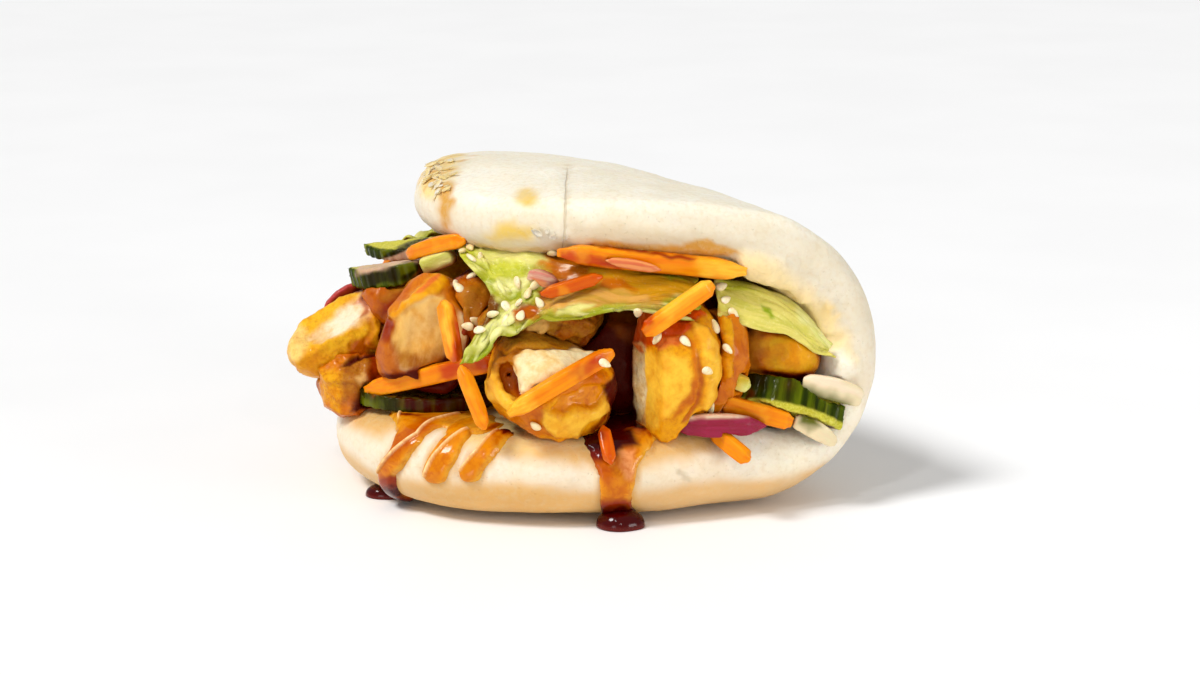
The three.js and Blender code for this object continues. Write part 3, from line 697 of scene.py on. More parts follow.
# Areas of colour as they show from the front; rows that paint light or shade say so. Each has its
# tint, the width of its edge and its height in millimetres, then its outline, across and up in
# tenths of a millimetre.
PATCHES = {
    "onion_right_low": [
        ("pine_pale", 2, 0, 400, -153, 432, -157, 444, -177, 412, -185, 396, -173),
    ],
    "onion_right_edge": [
        ("pine_pale", 3, 0, 392, -97, 424, -101, 470, -113, 496, -129, 500, -153, 392, -153),
        ("peel", 1, 0, 400, -77, 424, -73, 480, -85, 528, -109, 528, -125, 476, -101, 424, -89),
    ],
    "chicken_left_tip": [
        ("gold", 3.5, 0, -632, -49, -600, -29, -540, -29, -496, -21, -504, -69, -556, -91, -600,
         -85),
        ("straw", 1.5, 0.3, -636, -49, -616, 15, -600, 25, -584, 15, -584, -17, -604, -49),
        ("peel", 1.6, -0.7, -584, -5, -576, 9, -520, 59, -464, 91, -452, 65, -468, 35, -510, 11,
         -560, -9),
        # Painted shadow: pinkish shade that the crust's edge casts on the peeled meat.
        ("pink", 0.8, 0.3, -500, 67, -456, 101, -444, 79, -460, 53, -476, 39, -472, 67),
        ("gold", 0.8, 0.7, -456, 83, -442, 79, -438, 43, -446, 9, -438, -15, -452, -29, -468, -15,
         -456, 19, -460, 55),
        ("amber", 1.5, 0, -496, -17, -464, 7, -448, -15, -464, -29, -500, -45),
    ],
    "chicken_upper_left": [
        ("bronze", 2, 0, -444, 83, -416, 107, -372, 119, -388, 91, -432, 71),
        ("rust", 2, 0, -440, 71, -390, 87, -360, 111, -340, 121, -364, 83, -400, 51, -440, 39),
    ],
    "chicken_low_left": [
        ("gold", 2, 0, -564, -69, -508, -61, -508, -109, -524, -149, -564, -125),
        ("bronze", 2, 0, -516, -49, -456, -29, -444, -69, -456, -113, -510, -129, -524, -89),
        ("tan", 1, 0, -492, -83, -468, -71, -458, -85, -480, -95),
        ("rust", 2, 0, -464, -29, -412, -9, -412, -85, -452, -113, -464, -75),
        ("maroon", 1, -0.5, -520, -57, -496, -39, -468, -25, -440, -13, -444, -29, -476, -41, -500,
         -57),
        ("maroon", 1.5, 0, -484, -113, -444, -91, -412, -85, -416, -145, -500, -149),
    ],
    "chicken_big_cut": [
        ("gold", 1.2, 0.4, -424, 43, -400, 65, -370, 91, -320, 135, -292, 139, -292, 103, -320, 95,
         -350, 79, -380, 59, -404, 35),
        ("coral", 0.6, 0, -368, 87, -336, 119, -316, 131, -324, 115, -356, 87),
        ("bronze", 2.6, 0, -418, 15, -404, 35, -310, 75, -304, -29, -316, -57, -364, -69, -408, -61,
         -418, -25),
        ("face", 2.2, 0, -406, 39, -380, 59, -344, 79, -308, 91, -304, 35, -312, -9, -328, -27,
         -360, -33, -396, -25, -408, 5),
        ("tan", 2.6, 0, -396, 31, -340, 71, -314, 67, -314, 23, -340, -5, -388, -13),
        ("rust", 1.6, 0, -448, -29, -436, 39, -416, 51, -414, 15, -412, -29, -404, -65, -436, -81),
        ("rust", 1.2, -0.2, -448, 31, -432, 51, -416, 43, -420, 7, -440, -5),
        ("glaze", 1.6, 0, -444, -15, -420, -5, -404, -29, -404, -69, -432, -81, -448, -55),
        ("maroon", 1.4, 0, -328, -53, -308, -33, -284, -41, -268, -69, -320, -73),
        ("rust", 1.6, 0, -440, -77, -400, -65, -328, -59, -308, -77, -400, -93),
        ("amber", 1.5, 0, -312, 107, -288, 135, -272, 75, -300, -29, -308, 15),
        ("maroon", 1.2, 0, -456, -81, -400, -71, -328, -63, -260, -65, -220, -125, -448, -137),
    ],
    "chicken_mid_left": [
        ("bronze", 2.5, 0, -288, 107, -212, 109, -216, 51, -248, 19, -276, 39),
        ("rust", 2, 0, -308, 39, -276, 35, -252, -5, -288, -37, -308, -5),
    ],
    "chicken_under_leaf": [
        ("face", 1.5, 0.4, -164, 3, -136, 39, -96, 59, -80, 43, -96, 11, -130, -9),
        ("olive", 1, -0.6, -110, 31, -94, 39, -82, 27, -88, 7, -106, 3),
        ("bronze", 1.5, 0, -80, -17, -50, 7, -28, 43, 0, 59, 4, 39, -28, -1, -64, -33),
        ("glaze", 1.5, -0.3, -200, -17, -140, -21, -68, -17, -50, -41, -200, -45),
    ],
    "chicken_shell": [
        # The olive row takes the colour of the piece above; the umber line under it is painted shadow
        # where they meet.
        ("olive", 1, 0, -228, -5, -160, 15, 0, 15, 8, -25, -80, -19, -190, -23),
        ("umber", 0.8, -0.3, -204, -29, -160, -21, -80, -19, -8, -23, -8, -31, -80, -29, -156, -31,
         -196, -37),
        ("bronze", 1.2, 0.3, -226, -77, -204, -33, -160, -25, -158, -45, -186, -51, -204, -79, -212,
         -113),
        ("sun", 1.2, 0.8, -224, -85, -210, -67, -198, -93, -176, -119, -152, -133, -176, -149, -202,
         -133, -220, -109),
        ("amber", 1.2, 0, -188, -153, -120, -133, -110, -175, -76, -197, -130, -199, -176, -179),
        ("glaze", 0.8, -1.3, -202, -57, -186, -51, -168, -71, -162, -97, -160, -119, -180, -109,
         -198, -85),
        ("rust", 0.7, -0.5, -174, -73, -160, -77, -158, -117, -170, -109),
        ("meat", 1.4, 0.7, -170, -39, -150, -31, -60, -25, -12, -33, -30, -55, -80, -81, -120, -105,
         -144, -119, -160, -109, -166, -75),
        ("amber", 1.2, 0, -92, -113, -50, -77, -16, -57, 12, -65, 24, -97, -8, -97, -50, -117, -80,
         -133),
        ("sauce", 0.8, -0.8, -100, -145, -80, -117, -40, -101, 4, -89, 18, -109, 4, -127, -20, -143,
         -50, -137, -76, -151),
        ("sun", 1.2, 0.8, -116, -149, -96, -151, -80, -165, -60, -149, -20, -147, 12, -121, 16,
         -145, -16, -169, -50, -193, -90, -193, -116, -173),
        ("rust", 1.4, 0, 24, -69, 42, -85, 40, -117, 20, -153, -4, -181, 8, -137, 22, -109),
        ("maroon", 1.2, 0, 6, -93, 32, -69, 52, -125, 44, -185, 12, -205, 0, -185, 24, -149),
    ],
    "chicken_standing": [
        ("sun", 1.6, 0.2, 90, -25, 130, -29, 172, -37, 186, -75, 178, -115, 146, -149, 110, -181,
         92, -165, 94, -95),
        ("pale", 0.8, -0.3, 68, -13, 90, -21, 94, -85, 90, -145, 80, -169, 64, -161, 68, -95),
        ("gold", 1, 0.4, 58, -173, 90, -173, 114, -185, 102, -209, 80, -221, 58, -209),
        ("fire", 1.2, 0, 56, 51, 100, 67, 184, 75, 208, 47, 184, 13, 144, -5, 100, -17, 60, -9),
        ("coral", 0.8, 0.3, 106, -1, 164, 1, 160, -17, 120, -23),
        ("coral", 0.6, 0.3, 64, -5, 80, -17, 92, -33, 76, -29),
        ("amber", 0.9, 0, 168, 7, 188, -15, 198, -55, 200, -101, 180, -137, 144, -167, 156, -141,
         182, -111, 190, -75, 182, -35),
        ("glaze", 0.6, -0.35, 194, -25, 206, -55, 208, -95, 196, -135, 180, -167, 160, -171, 186,
         -135, 200, -95, 196, -61),
        ("sun", 0.9, 0.7, 184, 29, 212, 17, 234, -15, 238, -65, 230, -115, 212, -143, 200, -137,
         210, -105, 212, -61, 200, -15),
        ("amber", 1, 0, 232, 49, 260, 43, 268, -15, 260, -85, 248, -129, 222, -155, 226, -135, 242,
         -85, 242, -15),
    ],
    "chicken_standing_right": [
        ("amber", 1.5, 0, 220, 75, 272, 75, 272, -145, 212, -155),
        ("gold", 1, 0.5, 246, 43, 264, 39, 268, -25, 260, -77, 250, -77, 248, -15),
        ("sauce_brown", 1, 0, 224, -25, 240, -25, 240, -115, 224, -145),
    ],
    "chicken_right": [
        ("bronze", 2.5, 0, 252, 65, 330, 55, 320, -69, 252, -69),
        ("gold", 4, 0.3, 364, 15, 430, -5, 430, -61, 370, -53),
    ],
    "leaf_front": [
        ("leaf_lime", 1.2, 0.3, -284, 151, -276, 183, -250, 203, -200, 215, -184, 195, -220, 183,
         -244, 163, -264, 147),
        ("leaf_pale", 1.5, 0, -248, 171, -190, 191, -100, 191, -88, 151, -140, 143, -190, 151, -244,
         143),
        ("leaf_lime", 1.2, -0.2, -232, 135, -200, 151, -152, 147, -156, 123, -200, 119, -224, 111),
        ("leaf_rib", 1.2, 0.2, -224, 103, -180, 115, -140, 115, -160, 95, -200, 89),
        ("leaf_rib", 0.9, 0.4, -244, -15, -232, 15, -200, 47, -172, 63, -164, 39, -190, 19, -220,
         -9, -240, -25),
        ("umber", 0.8, 0, -280, 43, -248, 75, -220, 83, -200, 67, -212, 35, -244, 11, -272, -1),
        ("honey", 1.6, 0, -50, 151, 0, 147, 80, 139, 180, 111, 204, 95, 120, 71, 40, 71, -20, 79,
         -56, 75, -64, 115),
        ("glaze", 1.2, 0, -120, 183, -88, 159, -20, 151, -32, 111, -88, 107, -110, 107, -96, 139),
        ("rust", 0.9, 0, -128, 91, -88, 113, -44, 117, -44, 101, -80, 83, -120, 75),
        ("glaze", 1.2, 0, 0, 123, 44, 115, 80, 95, 0, 95),
        ("caramel", 1, 0.3, -120, 71, -70, 83, -20, 93, 40, 95, 100, 81, 96, 69, 20, 73, -40, 71,
         -88, 55, -120, 51),
        ("leaf_pale", 0.8, 0, -84, 57, -44, 69, -8, 67, -16, 57, -60, 49, -88, 43),
        ("sauce_brown", 0.8, 0, -176, 51, -140, 63, -120, 51, -136, 35, -170, 35),
    ],
    "leaf_side": [
        ("leaf_bright", 1, 0, 224, 131, 320, 107, 400, 51, 484, -25, 492, -57, 440, -45, 380, -13,
         290, 15, 232, 31),
        ("leaf_lime", 1, 0, 230, 115, 270, 123, 304, 111, 300, 95, 250, 91),
        ("leaf_deep", 0.8, 0, 324, 67, 336, 59, 350, 39, 340, 39, 328, 53),
        ("leaf_rib", 1.5, 0, 380, 75, 430, 45, 476, -9, 490, -29, 450, -15, 400, 31),
        ("bronze", 1.2, 0, 204, 83, 232, 91, 240, 51, 208, 47),
    ],
    "bun": [
        ("shade", 3, 0, -60, 231, 80, 219, 200, 207, 280, 187, 280, 151, 80, 171, -60, 187),
        # Painted shade: the lower lip's top, under the filling, turns tan.
        ("crust", 4, 0, -200, -197, -80, -213, 80, -205, 210, -173, 224, -205, 180, -241, 80, -257,
         -80, -253, -200, -237),
        ("stain", 2, 0.2, -360, 311, -340, 355, -272, 375, -288, 323, -300, 295, -336, 275, -356,
         283),
        ("syrup", 1.6, 0, -320, 303, -304, 311, -290, 301, -296, 265, -300, 223, -308, 211, -320,
         223, -326, 251, -318, 275),
        ("stain", 2.2, 0, -128, 281, -132, 270, -142, 264, -154, 264, -164, 270, -168, 281, -164,
         292, -154, 298, -142, 298, -132, 292),
        ("yolk", 1.6, 0, -131, 277, -133, 272, -137, 269, -143, 269, -147, 272, -149, 277, -147,
         282, -143, 285, -137, 285, -133, 282),
        # Painted reflection: yellow from the lettuce under the lip.
        ("yolk", 3, 0, -228, 203, -204, 223, -170, 231, -136, 219, -140, 195, -200, 191),
        ("shade", 1.2, -0.25, -68, 349, -64, 349, -65, 275, -70, 199, -76, 199, -70, 275),
        # Painted light: the pale rows brighten the shaded inner fold and the right end.
        ("pale", 3, 0, 276, 175, 320, 163, 384, 123, 448, 71, 496, 5, 504, -49, 476, -41, 420, -15,
         360, 31, 260, 95),
        ("bronze", 3, 0, 424, -9, 472, -29, 486, -49, 476, -77, 410, -65),
        ("rust", 0.6, 0, -30, 189, 80, 175, 200, 155, 244, 147, 200, 139, 80, 151, -30, 175),
        ("stain", 2.5, 0, -140, -185, 0, -185, 0, -229, -50, -217, -140, -205),
        # Painted shadow under the chicken.
        ("bronze", 2, 0, 90, -205, 124, -173, 180, -173, 168, -185, 128, -205, 96, -233),
        # Painted shade, with dark sauce, in the gap between the chicken pieces.
        ("maroon", 2, 0, -8, 75, 84, 75, 84, -225, -8, -205),
        # Painted shadow under the chicken.
        ("maroon", 1.4, 0, 80, -205, 124, -165, 200, -161, 200, -177, 136, -181, 100, -213),
        ("sauce_brown", 2, 0, -392, -133, -320, -125, -200, -121, -220, -133, -300, -149, -360,
         -165, -392, -157),
        # Painted shade: tan along the bottom at the left.
        ("crust", 5, 0, -360, -305, -160, -293, 0, -317, 0, -375, -360, -345),
        ("pale", 4, 3, 284, 163, 344, 151, 424, 95, 476, 25, 472, -15, 424, -1, 370, 59, 320, 99,
         284, 127),
        # Painted shade: a thin dark line where the bun meets the leaf.
        ("bronze", 0.7, 0, 304, 111, 350, 89, 400, 39, 444, -9, 428, -13, 380, 23, 330, 75, 300,
         99),
        # Painted shade, with some soaking: tan on the top of the left lip.
        ("crust", 3.5, 0, -510, -141, -400, -133, -392, -173, -440, -205, -500, -181),
        ("stain", 4, 0, -340, -109, -240, -105, -120, -185, -140, -229, -260, -217, -340, -165),
        ("pale", 3, 2.5, 436, -1, 490, -5, 512, -45, 500, -85, 460, -101, 412, -73, 412, -29),
        ("syrup", 1, 0, -20, 195, 80, 183, 160, 181, 192, 195, 212, 199, 232, 187, 264, 179, 276,
         171, 244, 161, 200, 151, 80, 167, -20, 179),
        ("bronze", 0.8, 0, -20, 187, 80, 175, 200, 159, 244, 151, 180, 147, 80, 159, -20, 175),
        # Painted light: the next two rows lighten the lower right and the right end.
        ("milk", 6, 0, 230, -165, 320, -125, 400, -109, 500, -105, 524, -145, 480, -225, 380, -269,
         260, -265),
        ("milk", 2, 0, 428, -17, 490, -17, 516, -57, 500, -93, 452, -85, 424, -57),
    ],
    "sauce": [
        ("drop", 1.5, 0, -44, -185, 12, -177, 64, -181, 80, -217, 44, -221, 20, -249, -8, -241, -40,
         -221),
        ("sauce_dark", 1.5, 0, -32, -225, 8, -221, 16, -249, 0, -269, -12, -261, -28, -245),
        ("sauce_brown", 2, 0, -20, -249, 16, -249, 32, -281, 20, -309, 0, -285),
        # Painted reflection: a pale coral patch on the main stroke.
        ("coral_pale", 1.5, 0, 36, -229, 70, -225, 72, -257, 64, -285, 50, -281, 40, -257),
        ("rust", 2, 0, 0, -325, 84, -321, 88, -341, 0, -345),
        ("drop", 1.5, 0, -8, -337, 88, -337, 88, -385, -8, -385),
        ("sauce_brown", 2.5, 0, -432, -237, -412, -197, -380, -173, -344, -153, -328, -177, -372,
         -209, -400, -237, -428, -265),
        ("drop", 1.5, 0, -456, -289, -392, -289, -392, -325, -456, -325),
        ("rust", 1.5, 0, -448, -277, -400, -277, -400, -297, -448, -297),
    ],
    "carrot_long": [
        ("rust", 0.8, 0, -60, 195, 0, 189, 100, 175, 200, 157, 180, 153, 80, 169, 0, 183, -60, 189),
        ("fire", 1.5, 0, -80, 175, -20, 167, 40, 151, 40, 135, -80, 151),
        ("sun", 2, 0, 200, 159, 300, 143, 300, 111, 200, 123),
    ],
    "carrot_left": [
        ("fire", 2, 0, -320, -57, -200, -29, -200, -57, -320, -85),
    ],
    "carrot_on_shell": [
        ("sun", 2.5, 0, -194, -129, -140, -109, -130, -137, -184, -161),
        ("fire", 2.5, 0, -60, -69, -20, -37, 12, -25, 4, -53, -44, -89),
    ],
    "carrot_crossing": [
        ("sun", 2, 0, 100, 55, 200, 135, 244, 151, 220, 105, 140, 39),
        ("fire", 1.5, 0, 56, 15, 100, 51, 110, 35, 72, -15),
    ],
    "carrot_upright": [
        ("fire", 1.2, 0, -292, 75, -276, 35, -276, -49, -292, -57, -296, 15),
        ("sun", 1.2, 0, -312, 75, -300, 79, -300, -25, -314, -5),
    ],
    "onion_on_leaf": [
        ("coral_pale", 0.6, 0, -136, 123, -110, 115, -102, 95, -120, 95, -132, 107),
    ],
    "cucumber_top_left": [
        # Painted reflection: the veil rows here and on the next piece are the pale sheen on the
        # cucumbers' tops.
        ("veil", 1.2, 0, -490, 155, -440, 175, -376, 179, -348, 163, -372, 147, -420, 137, -456,
         133, -484, 125),
        ("pine", 1.2, 0, -484, 127, -456, 135, -420, 139, -368, 151, -360, 131, -390, 117, -440,
         107, -480, 95),
        ("pine_pale", 0.6, 0, -404, 143, -372, 151, -368, 135, -396, 127),
    ],
    "cucumber_behind": [
        ("veil", 1, 0, -440, 151, -410, 175, -340, 195, -308, 199, -308, 143, -400, 139),
        ("pine", 0.5, 0, -440, 155, -420, 175, -380, 191, -344, 203, -340, 195, -376, 181, -412,
         163),
    ],
    "cucumber_low_left": [
        ("pine", 1.5, 0, -476, -93, -360, -85, -200, -77, -200, -155, -476, -169),
        ("umber", 1.2, 0, -456, -97, -260, -81, -260, -105, -360, -113, -456, -117),
        ("drop", 1.2, 0, -408, -117, -280, -97, -200, -93, -200, -149, -340, -149, -408, -141),
        ("pine_pale", 1.5, 0, -520, -125, -452, -121, -432, -149, -424, -173, -520, -173),
    ],
    "cucumber_right": [
        ("pine", 2.5, 0, 256, -41, 296, -49, 344, -61, 336, -101, 296, -97, 268, -101),
        ("leaf_pale", 0.8, 0, 376, -61, 430, -71, 484, -89, 484, -97, 430, -83, 376, -71),
    ],
    "stalk_right": [
        ("olive_yellow", 1.5, 0, 240, -61, 270, -65, 304, -81, 270, -105, 240, -101),
    ],
}


def patches_on(name, points, normals, seed):
    """A piece's patches: tint, share of each point covered and height, one after the other."""
    places = front_view(points)
    warp = PATCH_WARP * np.stack([noise(points, 2.2, seed + k, 2) for k in (41, 42)], axis=1)
    facing = smooth((0.25 - normals @ AHEAD) / 0.35)
    for tint, edge, height, *outline in PATCHES.get(name, []):
        inside = within(places + min(edge, 1.2) * warp, np.reshape(outline, (-1, 2)) / 10)
        yield tint, smooth(inside / edge + 0.5) * facing, height


def lay_patches(name, points, normals, tone, wet, seed):
    """Adds a piece's patches; returns also how much they raise the surface."""
    rise = np.zeros(len(points))
    for tint, share, height in patches_on(name, points, normals, seed):
        tone, wet = coated(tone, wet, tint, share)
        rise = rise + height * share
    return tone, wet, rise


# The bun's dough.
def skin(s):
    """How far out and up the bun's outer skin lies at a run from its middle, and its turn there."""
    run = s + HALF_RUN
    bend = np.clip((run - LOWER_RUN) / FOLD_RADIUS, 0, FOLD_TURN)
    past = np.maximum((run - LOWER_RUN - FOLD_RUN) / UPPER_RADIUS, 0)
    turn = bend + past
    d = np.minimum(run - LOWER_RUN, 0) + FOLD_RADIUS * np.sin(bend)
    z = FOLD_RADIUS * (1 - np.cos(bend))
    d = d + UPPER_RADIUS * (np.sin(turn) - np.sin(bend)) * (past > 0)
    z = z + UPPER_RADIUS * (np.cos(bend) - np.cos(turn)) * (past > 0)
    return d, z, turn


def dough_at(s):
    full = np.where(s < 0, DOUGH_LOWER, DOUGH_UPPER)
    return lerp(DOUGH_AT_FOLD, full, smooth(np.abs(s) / DOUGH_GROWS_OVER))


def bun_point(around, level, grow=0.0):
    """The bun's surface. around is in radians; level is 0 in the middle of the outer skin, 1 and 2
    at the lip, and 3 in the middle of the inner skin; grow is how far out the lip is moved."""
    around, level, grow = np.broadcast_arrays(np.asarray(around, float), level, grow)
    c, k = np.cos(around), np.sin(around)
    power = np.abs(c / HALF_RUN) ** OVAL_POWER + np.abs(k / (BUN_WIDTH / 2)) ** OVAL_POWER
    edge = power ** (-1 / OVAL_POWER)
    half = dough_at(edge * c) / 2
    lip = np.clip(level - 1, 0, 1) * np.pi
    share = np.where(level <= 1, level, np.where(level >= 2, 3 - level, 1.0))
    reach = (edge - half) * share + np.sin(lip) * (half + grow)
    out = reach / edge
    s, w = edge * c * out, edge * k * out
    thick = np.where((level <= 1) | (level >= 2), dough_at(s), 2 * half)
    depth = thick / 2 - (thick / 2 + grow) * np.cos(lip)
    droop = np.where(w < 0, FAR_DROOP, NEAR_DROOP) * (2 * w / BUN_WIDTH) ** 2
    puff = (CROWN * (1 - out**2) - droop) * smooth(s / HALF_RUN - PUFF_FROM)
    rise = smooth((out - CURL_FROM) / (1 - CURL_FROM))
    curl = RIM_CURL * rise * smooth(CURL_TO - s / HALF_RUN) * (1 - depth / thick)
    depth = depth - puff + curl
    d, z, turn = skin(s)
    y = d - np.sin(turn) * depth
    z = z + np.cos(turn) * depth
    ct, st = math.cos(BUN_TURN), math.sin(BUN_TURN)
    return np.stack([ct * w - st * y + BUN_PLACE[0], st * w + ct * y + BUN_PLACE[1], z], axis=-1)


# Points around the bun, and its rings from the middle below to the middle above.
AROUND = 520
LEVELS = [np.linspace(0, 1, 48)[:-1], np.linspace(1, 2, 46)[:-1], np.linspace(2, 3, 40)]
LEVELS = np.concatenate(LEVELS)
# Where the skin flakes, strokes of colour, and ridges and grooves.
FLAKY = [(-29, 4, 58.4), (-27.5, -3, 58.6), (-26, 4, 59.2), (-24.5, 12, 59.5)]
BUN_STROKES = [
    # Painted shade and bounced light: yellow on the inner fold beside the filling.
    ("inside", 8.0, [(33, -24, 45), (40, -16, 41), (46.6, -21, 36), (46, -18, 26)]),
    ("shade", 0.5, [(19.3, -42, 10.6), (21.4, -41.2, 8.4)]),
]
BUN_RELIEF = [
    (0.35, 2.2, [(-4.2, -6, 61.2), (-4.2, -29, 60)]),
    (-0.4, 0.8, [(19.3, -42, 10.6), (21.4, -41.2, 8.4)]),
]


def build_bun():
    turn, level = round_grid(AROUND, LEVELS[1:-1])
    turn, level = np.concatenate([[0], turn, [0]]), np.concatenate([[0], level, [3]])
    points = plain = bun_point(turn, level)
    faces = ring_faces(len(LEVELS) - 2, AROUND)
    normals = vertex_normals(points, faces)
    upper = smooth(np.cos(turn) / 0.3)
    rim = smooth(1 - np.abs(level - 1.5) / 0.9)
    flaky = smooth(1.4 - from_path(points, FLAKY) / 5)
    swell = 0.34 * noise(points, 13, 1, 2) + 0.12 * noise(points, 4, 5, 2) * rim
    swell += 0.05 * noise(points, 1.4, 9) + 0.3 * flaky * np.abs(noise(points, 1.8, 12, 2))
    swell += raised(points, BUN_RELIEF)
    ragged = upper * smooth(1 - np.abs(level - 1.75) / 0.3)
    swell += 0.22 * ragged * noise(points, 1.5, 15, 2)
    tone, wet = base_coat(points, "cream")
    # Painted light: dough that faces up, high on the bun, turns a lighter cream.
    painted_top_light = smooth((normals[:, 2] - 0.4) / 0.5) * smooth((plain[:, 2] - 36) / 8)
    tone = tinted(tone, "milk", painted_top_light)
    rise = lay_patches("bun", plain, normals, tone, wet, 4)[2]
    points = points + normals * (swell + rise)[:, None]
    points[:, 2] = np.maximum(points[:, 2], 0.0)
    height = points[:, 2]
    warm = 1 - smooth((height - 18) / 18)
    tone = tinted(tone, "warm", 0.9 * warm)
    # Painted shade: the low part of the dough turns tan.
    low = smooth((9.2 + 1.6 * noise(points, 11, 8, 2) - height) / 3)
    tone = tinted(tone, "crust", 0.85 * low)
    # Painted shade and bounced light: the inner skin of the fold turns yellow.
    inner = smooth((level - 1.8) / 0.5) * smooth((height - 20) / 8)
    tone = tinted(tone, "inside", 0.7 * inner)
    soaked = sauce_near(turn, level)
    tone = tinted(tone, "syrup", 0.8 * soaked)
    # Painted shade, with sauce soaked in: sheltered places high on the lip turn syrup brown, the most
    # sheltered rust.
    shelter = sheltered(plain, normals, faces, level > 1.2)
    shelter = shelter * (1 - 0.8 * smooth((plain[:, 0] - 24) / 8))
    near = smooth((shelter - 0.22) / 0.3) * smooth((level - 1.4) / 0.3)
    tone = tinted(tone, "syrup", near * (0.55 + 0.3 * noise(points, 3, 17, 2)))
    deep = smooth((shelter - 0.5) / 0.3) * smooth((level - 1.6) / 0.3)
    tone = tinted(tone, "rust", 0.85 * deep)
    tone, wet = lay(plain, tone, wet, BUN_STROKES, 4)
    tone, wet, _ = lay_patches("bun", plain, normals, tone, wet, 4)
    blotch = flaky * noise(points, 1.3, 31, 2)
    tone = tinted(tone, "syrup", 0.7 * smooth((blotch - 0.15) / 0.25))
    tone = tinted(tone, "cream", 0.7 * smooth((-blotch - 0.1) / 0.25))
    tone = tone * (1 + 0.03 * noise(points, 6, 3, 2))[:, None]
    fields = {"tone": tone, "wet": np.maximum(wet, near), "specks": np.clip(ragged + flaky, 0, 1)}
    make_piece("bun_dough", points, faces, DOUGH, fields, "dough", ["bun"])


# Sauce on the lower lip.
# Strokes of sauce: around in degrees, level, half width and thickness in millimetres, foot last.
STROKES = {
    "main": [
        (148.5, 2.12, 9.5, 1.0), (147.8, 1.9, 7.4, 1.0), (147.2, 1.72, 4.8, 1.0),
        (146.9, 1.57, 3.3, 0.85), (147.4, 1.4, 2.9, 0.95), (148, 1.12, 3.3, 1.5),
    ],
    "left": [
        (178.2, 2.12, 6.0, 0.6), (174, 1.93, 4.6, 0.7), (173.5, 1.73, 3.2, 0.8),
        (174, 1.6, 2.4, 0.8), (175.3, 1.48, 2.0, 0.9), (177.5, 1.1, 2.4, 1.5),
    ],
    "middle": [
        (170.2, 2.05, 1.8, 0.6), (167.8, 1.87, 2.2, 0.8), (167.7, 1.71, 2.8, 0.9),
        (168.2, 1.54, 2.7, 1.0),
    ],
    "right": [
        (163.2, 1.95, 1.5, 0.7), (163, 1.79, 1.8, 0.8), (163.4, 1.67, 2.0, 0.9),
        (164, 1.56, 1.9, 1.0),
    ],
    "smear": [(181, 2.16, 2.6, 0.4), (174, 2.05, 2.6, 0.4), (167, 2.0, 2.0, 0.3)],
}
# Raised threads of sauce along the strokes: around in degrees and level.
THREADS = {
    "left": [(173.4, 2.06), (172.5, 1.8), (174.5, 1.62), (177, 1.45)],
    "left_edge": [(180, 2.0), (176.6, 1.8), (176.2, 1.6), (178, 1.42)],
    "middle": [(167.2, 1.93), (168, 1.71), (169.5, 1.51)],
    "right": [(164, 1.96), (164, 1.73), (165, 1.58)],
}
THREAD_HALF = 0.42
THREAD_HIGH = 0.55
# How far sauce soaks into the dough, and how much darker the top of the main stroke is.
SOAK = 1.3
MAIN_SHADE = 0.6
LEVEL_MM = math.pi * DOUGH_LOWER / 2
LIP_FROM, LIP_TO = math.radians(120), math.radians(215)
LIP_LEVEL = 1.6
# The net of points that the sauce is drawn on.
SAUCE_TURNS = np.radians(np.arange(138, 186, 0.13))
SAUCE_LEVELS = np.arange(1.02, 2.35, 0.2 / LEVEL_MM)
# The sauce has a body where its depth is over the first. Its foot lies as deep as the second.
SAUCE_FROM = -0.3
SAUCE_FOOT = -0.8
# The darker place on the main stroke: around in degrees, level, and how far it reaches in each.
DARK_AT = 150.5, 2.0
DARK_REACH = 2.2, 0.22


def lip_run(turn):
    """How far round the lip a turn lies, in millimetres along its front edge."""
    turns = np.linspace(LIP_FROM, LIP_TO, 200)
    front = bun_point(turns, LIP_LEVEL)
    run = np.concatenate([[0], np.cumsum(np.linalg.norm(np.diff(front, axis=0), axis=1))])
    return np.interp(turn, turns, run)


def stretches(strokes):
    """The straight stretches of all strokes, as pairs of their ends."""
    return [ends for stroke in strokes.values() for ends in zip(stroke[:-1], stroke[1:])]


def from_line(x, y, a, b):
    """Distance from a stroke's stretch from a to b, and how far along it is the nearest place."""
    ax, ay = lip_run(math.radians(a[0])), a[1] * LEVEL_MM
    bx, by = lip_run(math.radians(b[0])), b[1] * LEVEL_MM
    length = (bx - ax) ** 2 + (by - ay) ** 2
    t = np.clip(((x - ax) * (bx - ax) + (y - ay) * (by - ay)) / length, 0, 1)
    return np.hypot(x - lerp(ax, bx, t), y - lerp(ay, by, t)), t


def sauce_near(turn, level):
    """From 0 to 1, how close a place of the lip is to a stroke of sauce."""
    x, y = lip_run(turn), level * LEVEL_MM
    near = np.zeros(len(x))
    for a, b in stretches(STROKES):
        away, t = from_line(x, y, a, b)
        near = np.maximum(near, 1 - (away - lerp(a[2], b[2], t)) / SOAK)
    inside = (turn > LIP_FROM) & (turn < LIP_TO) & (level > 0.9) & (level < 2.4)
    return smooth(near) * inside


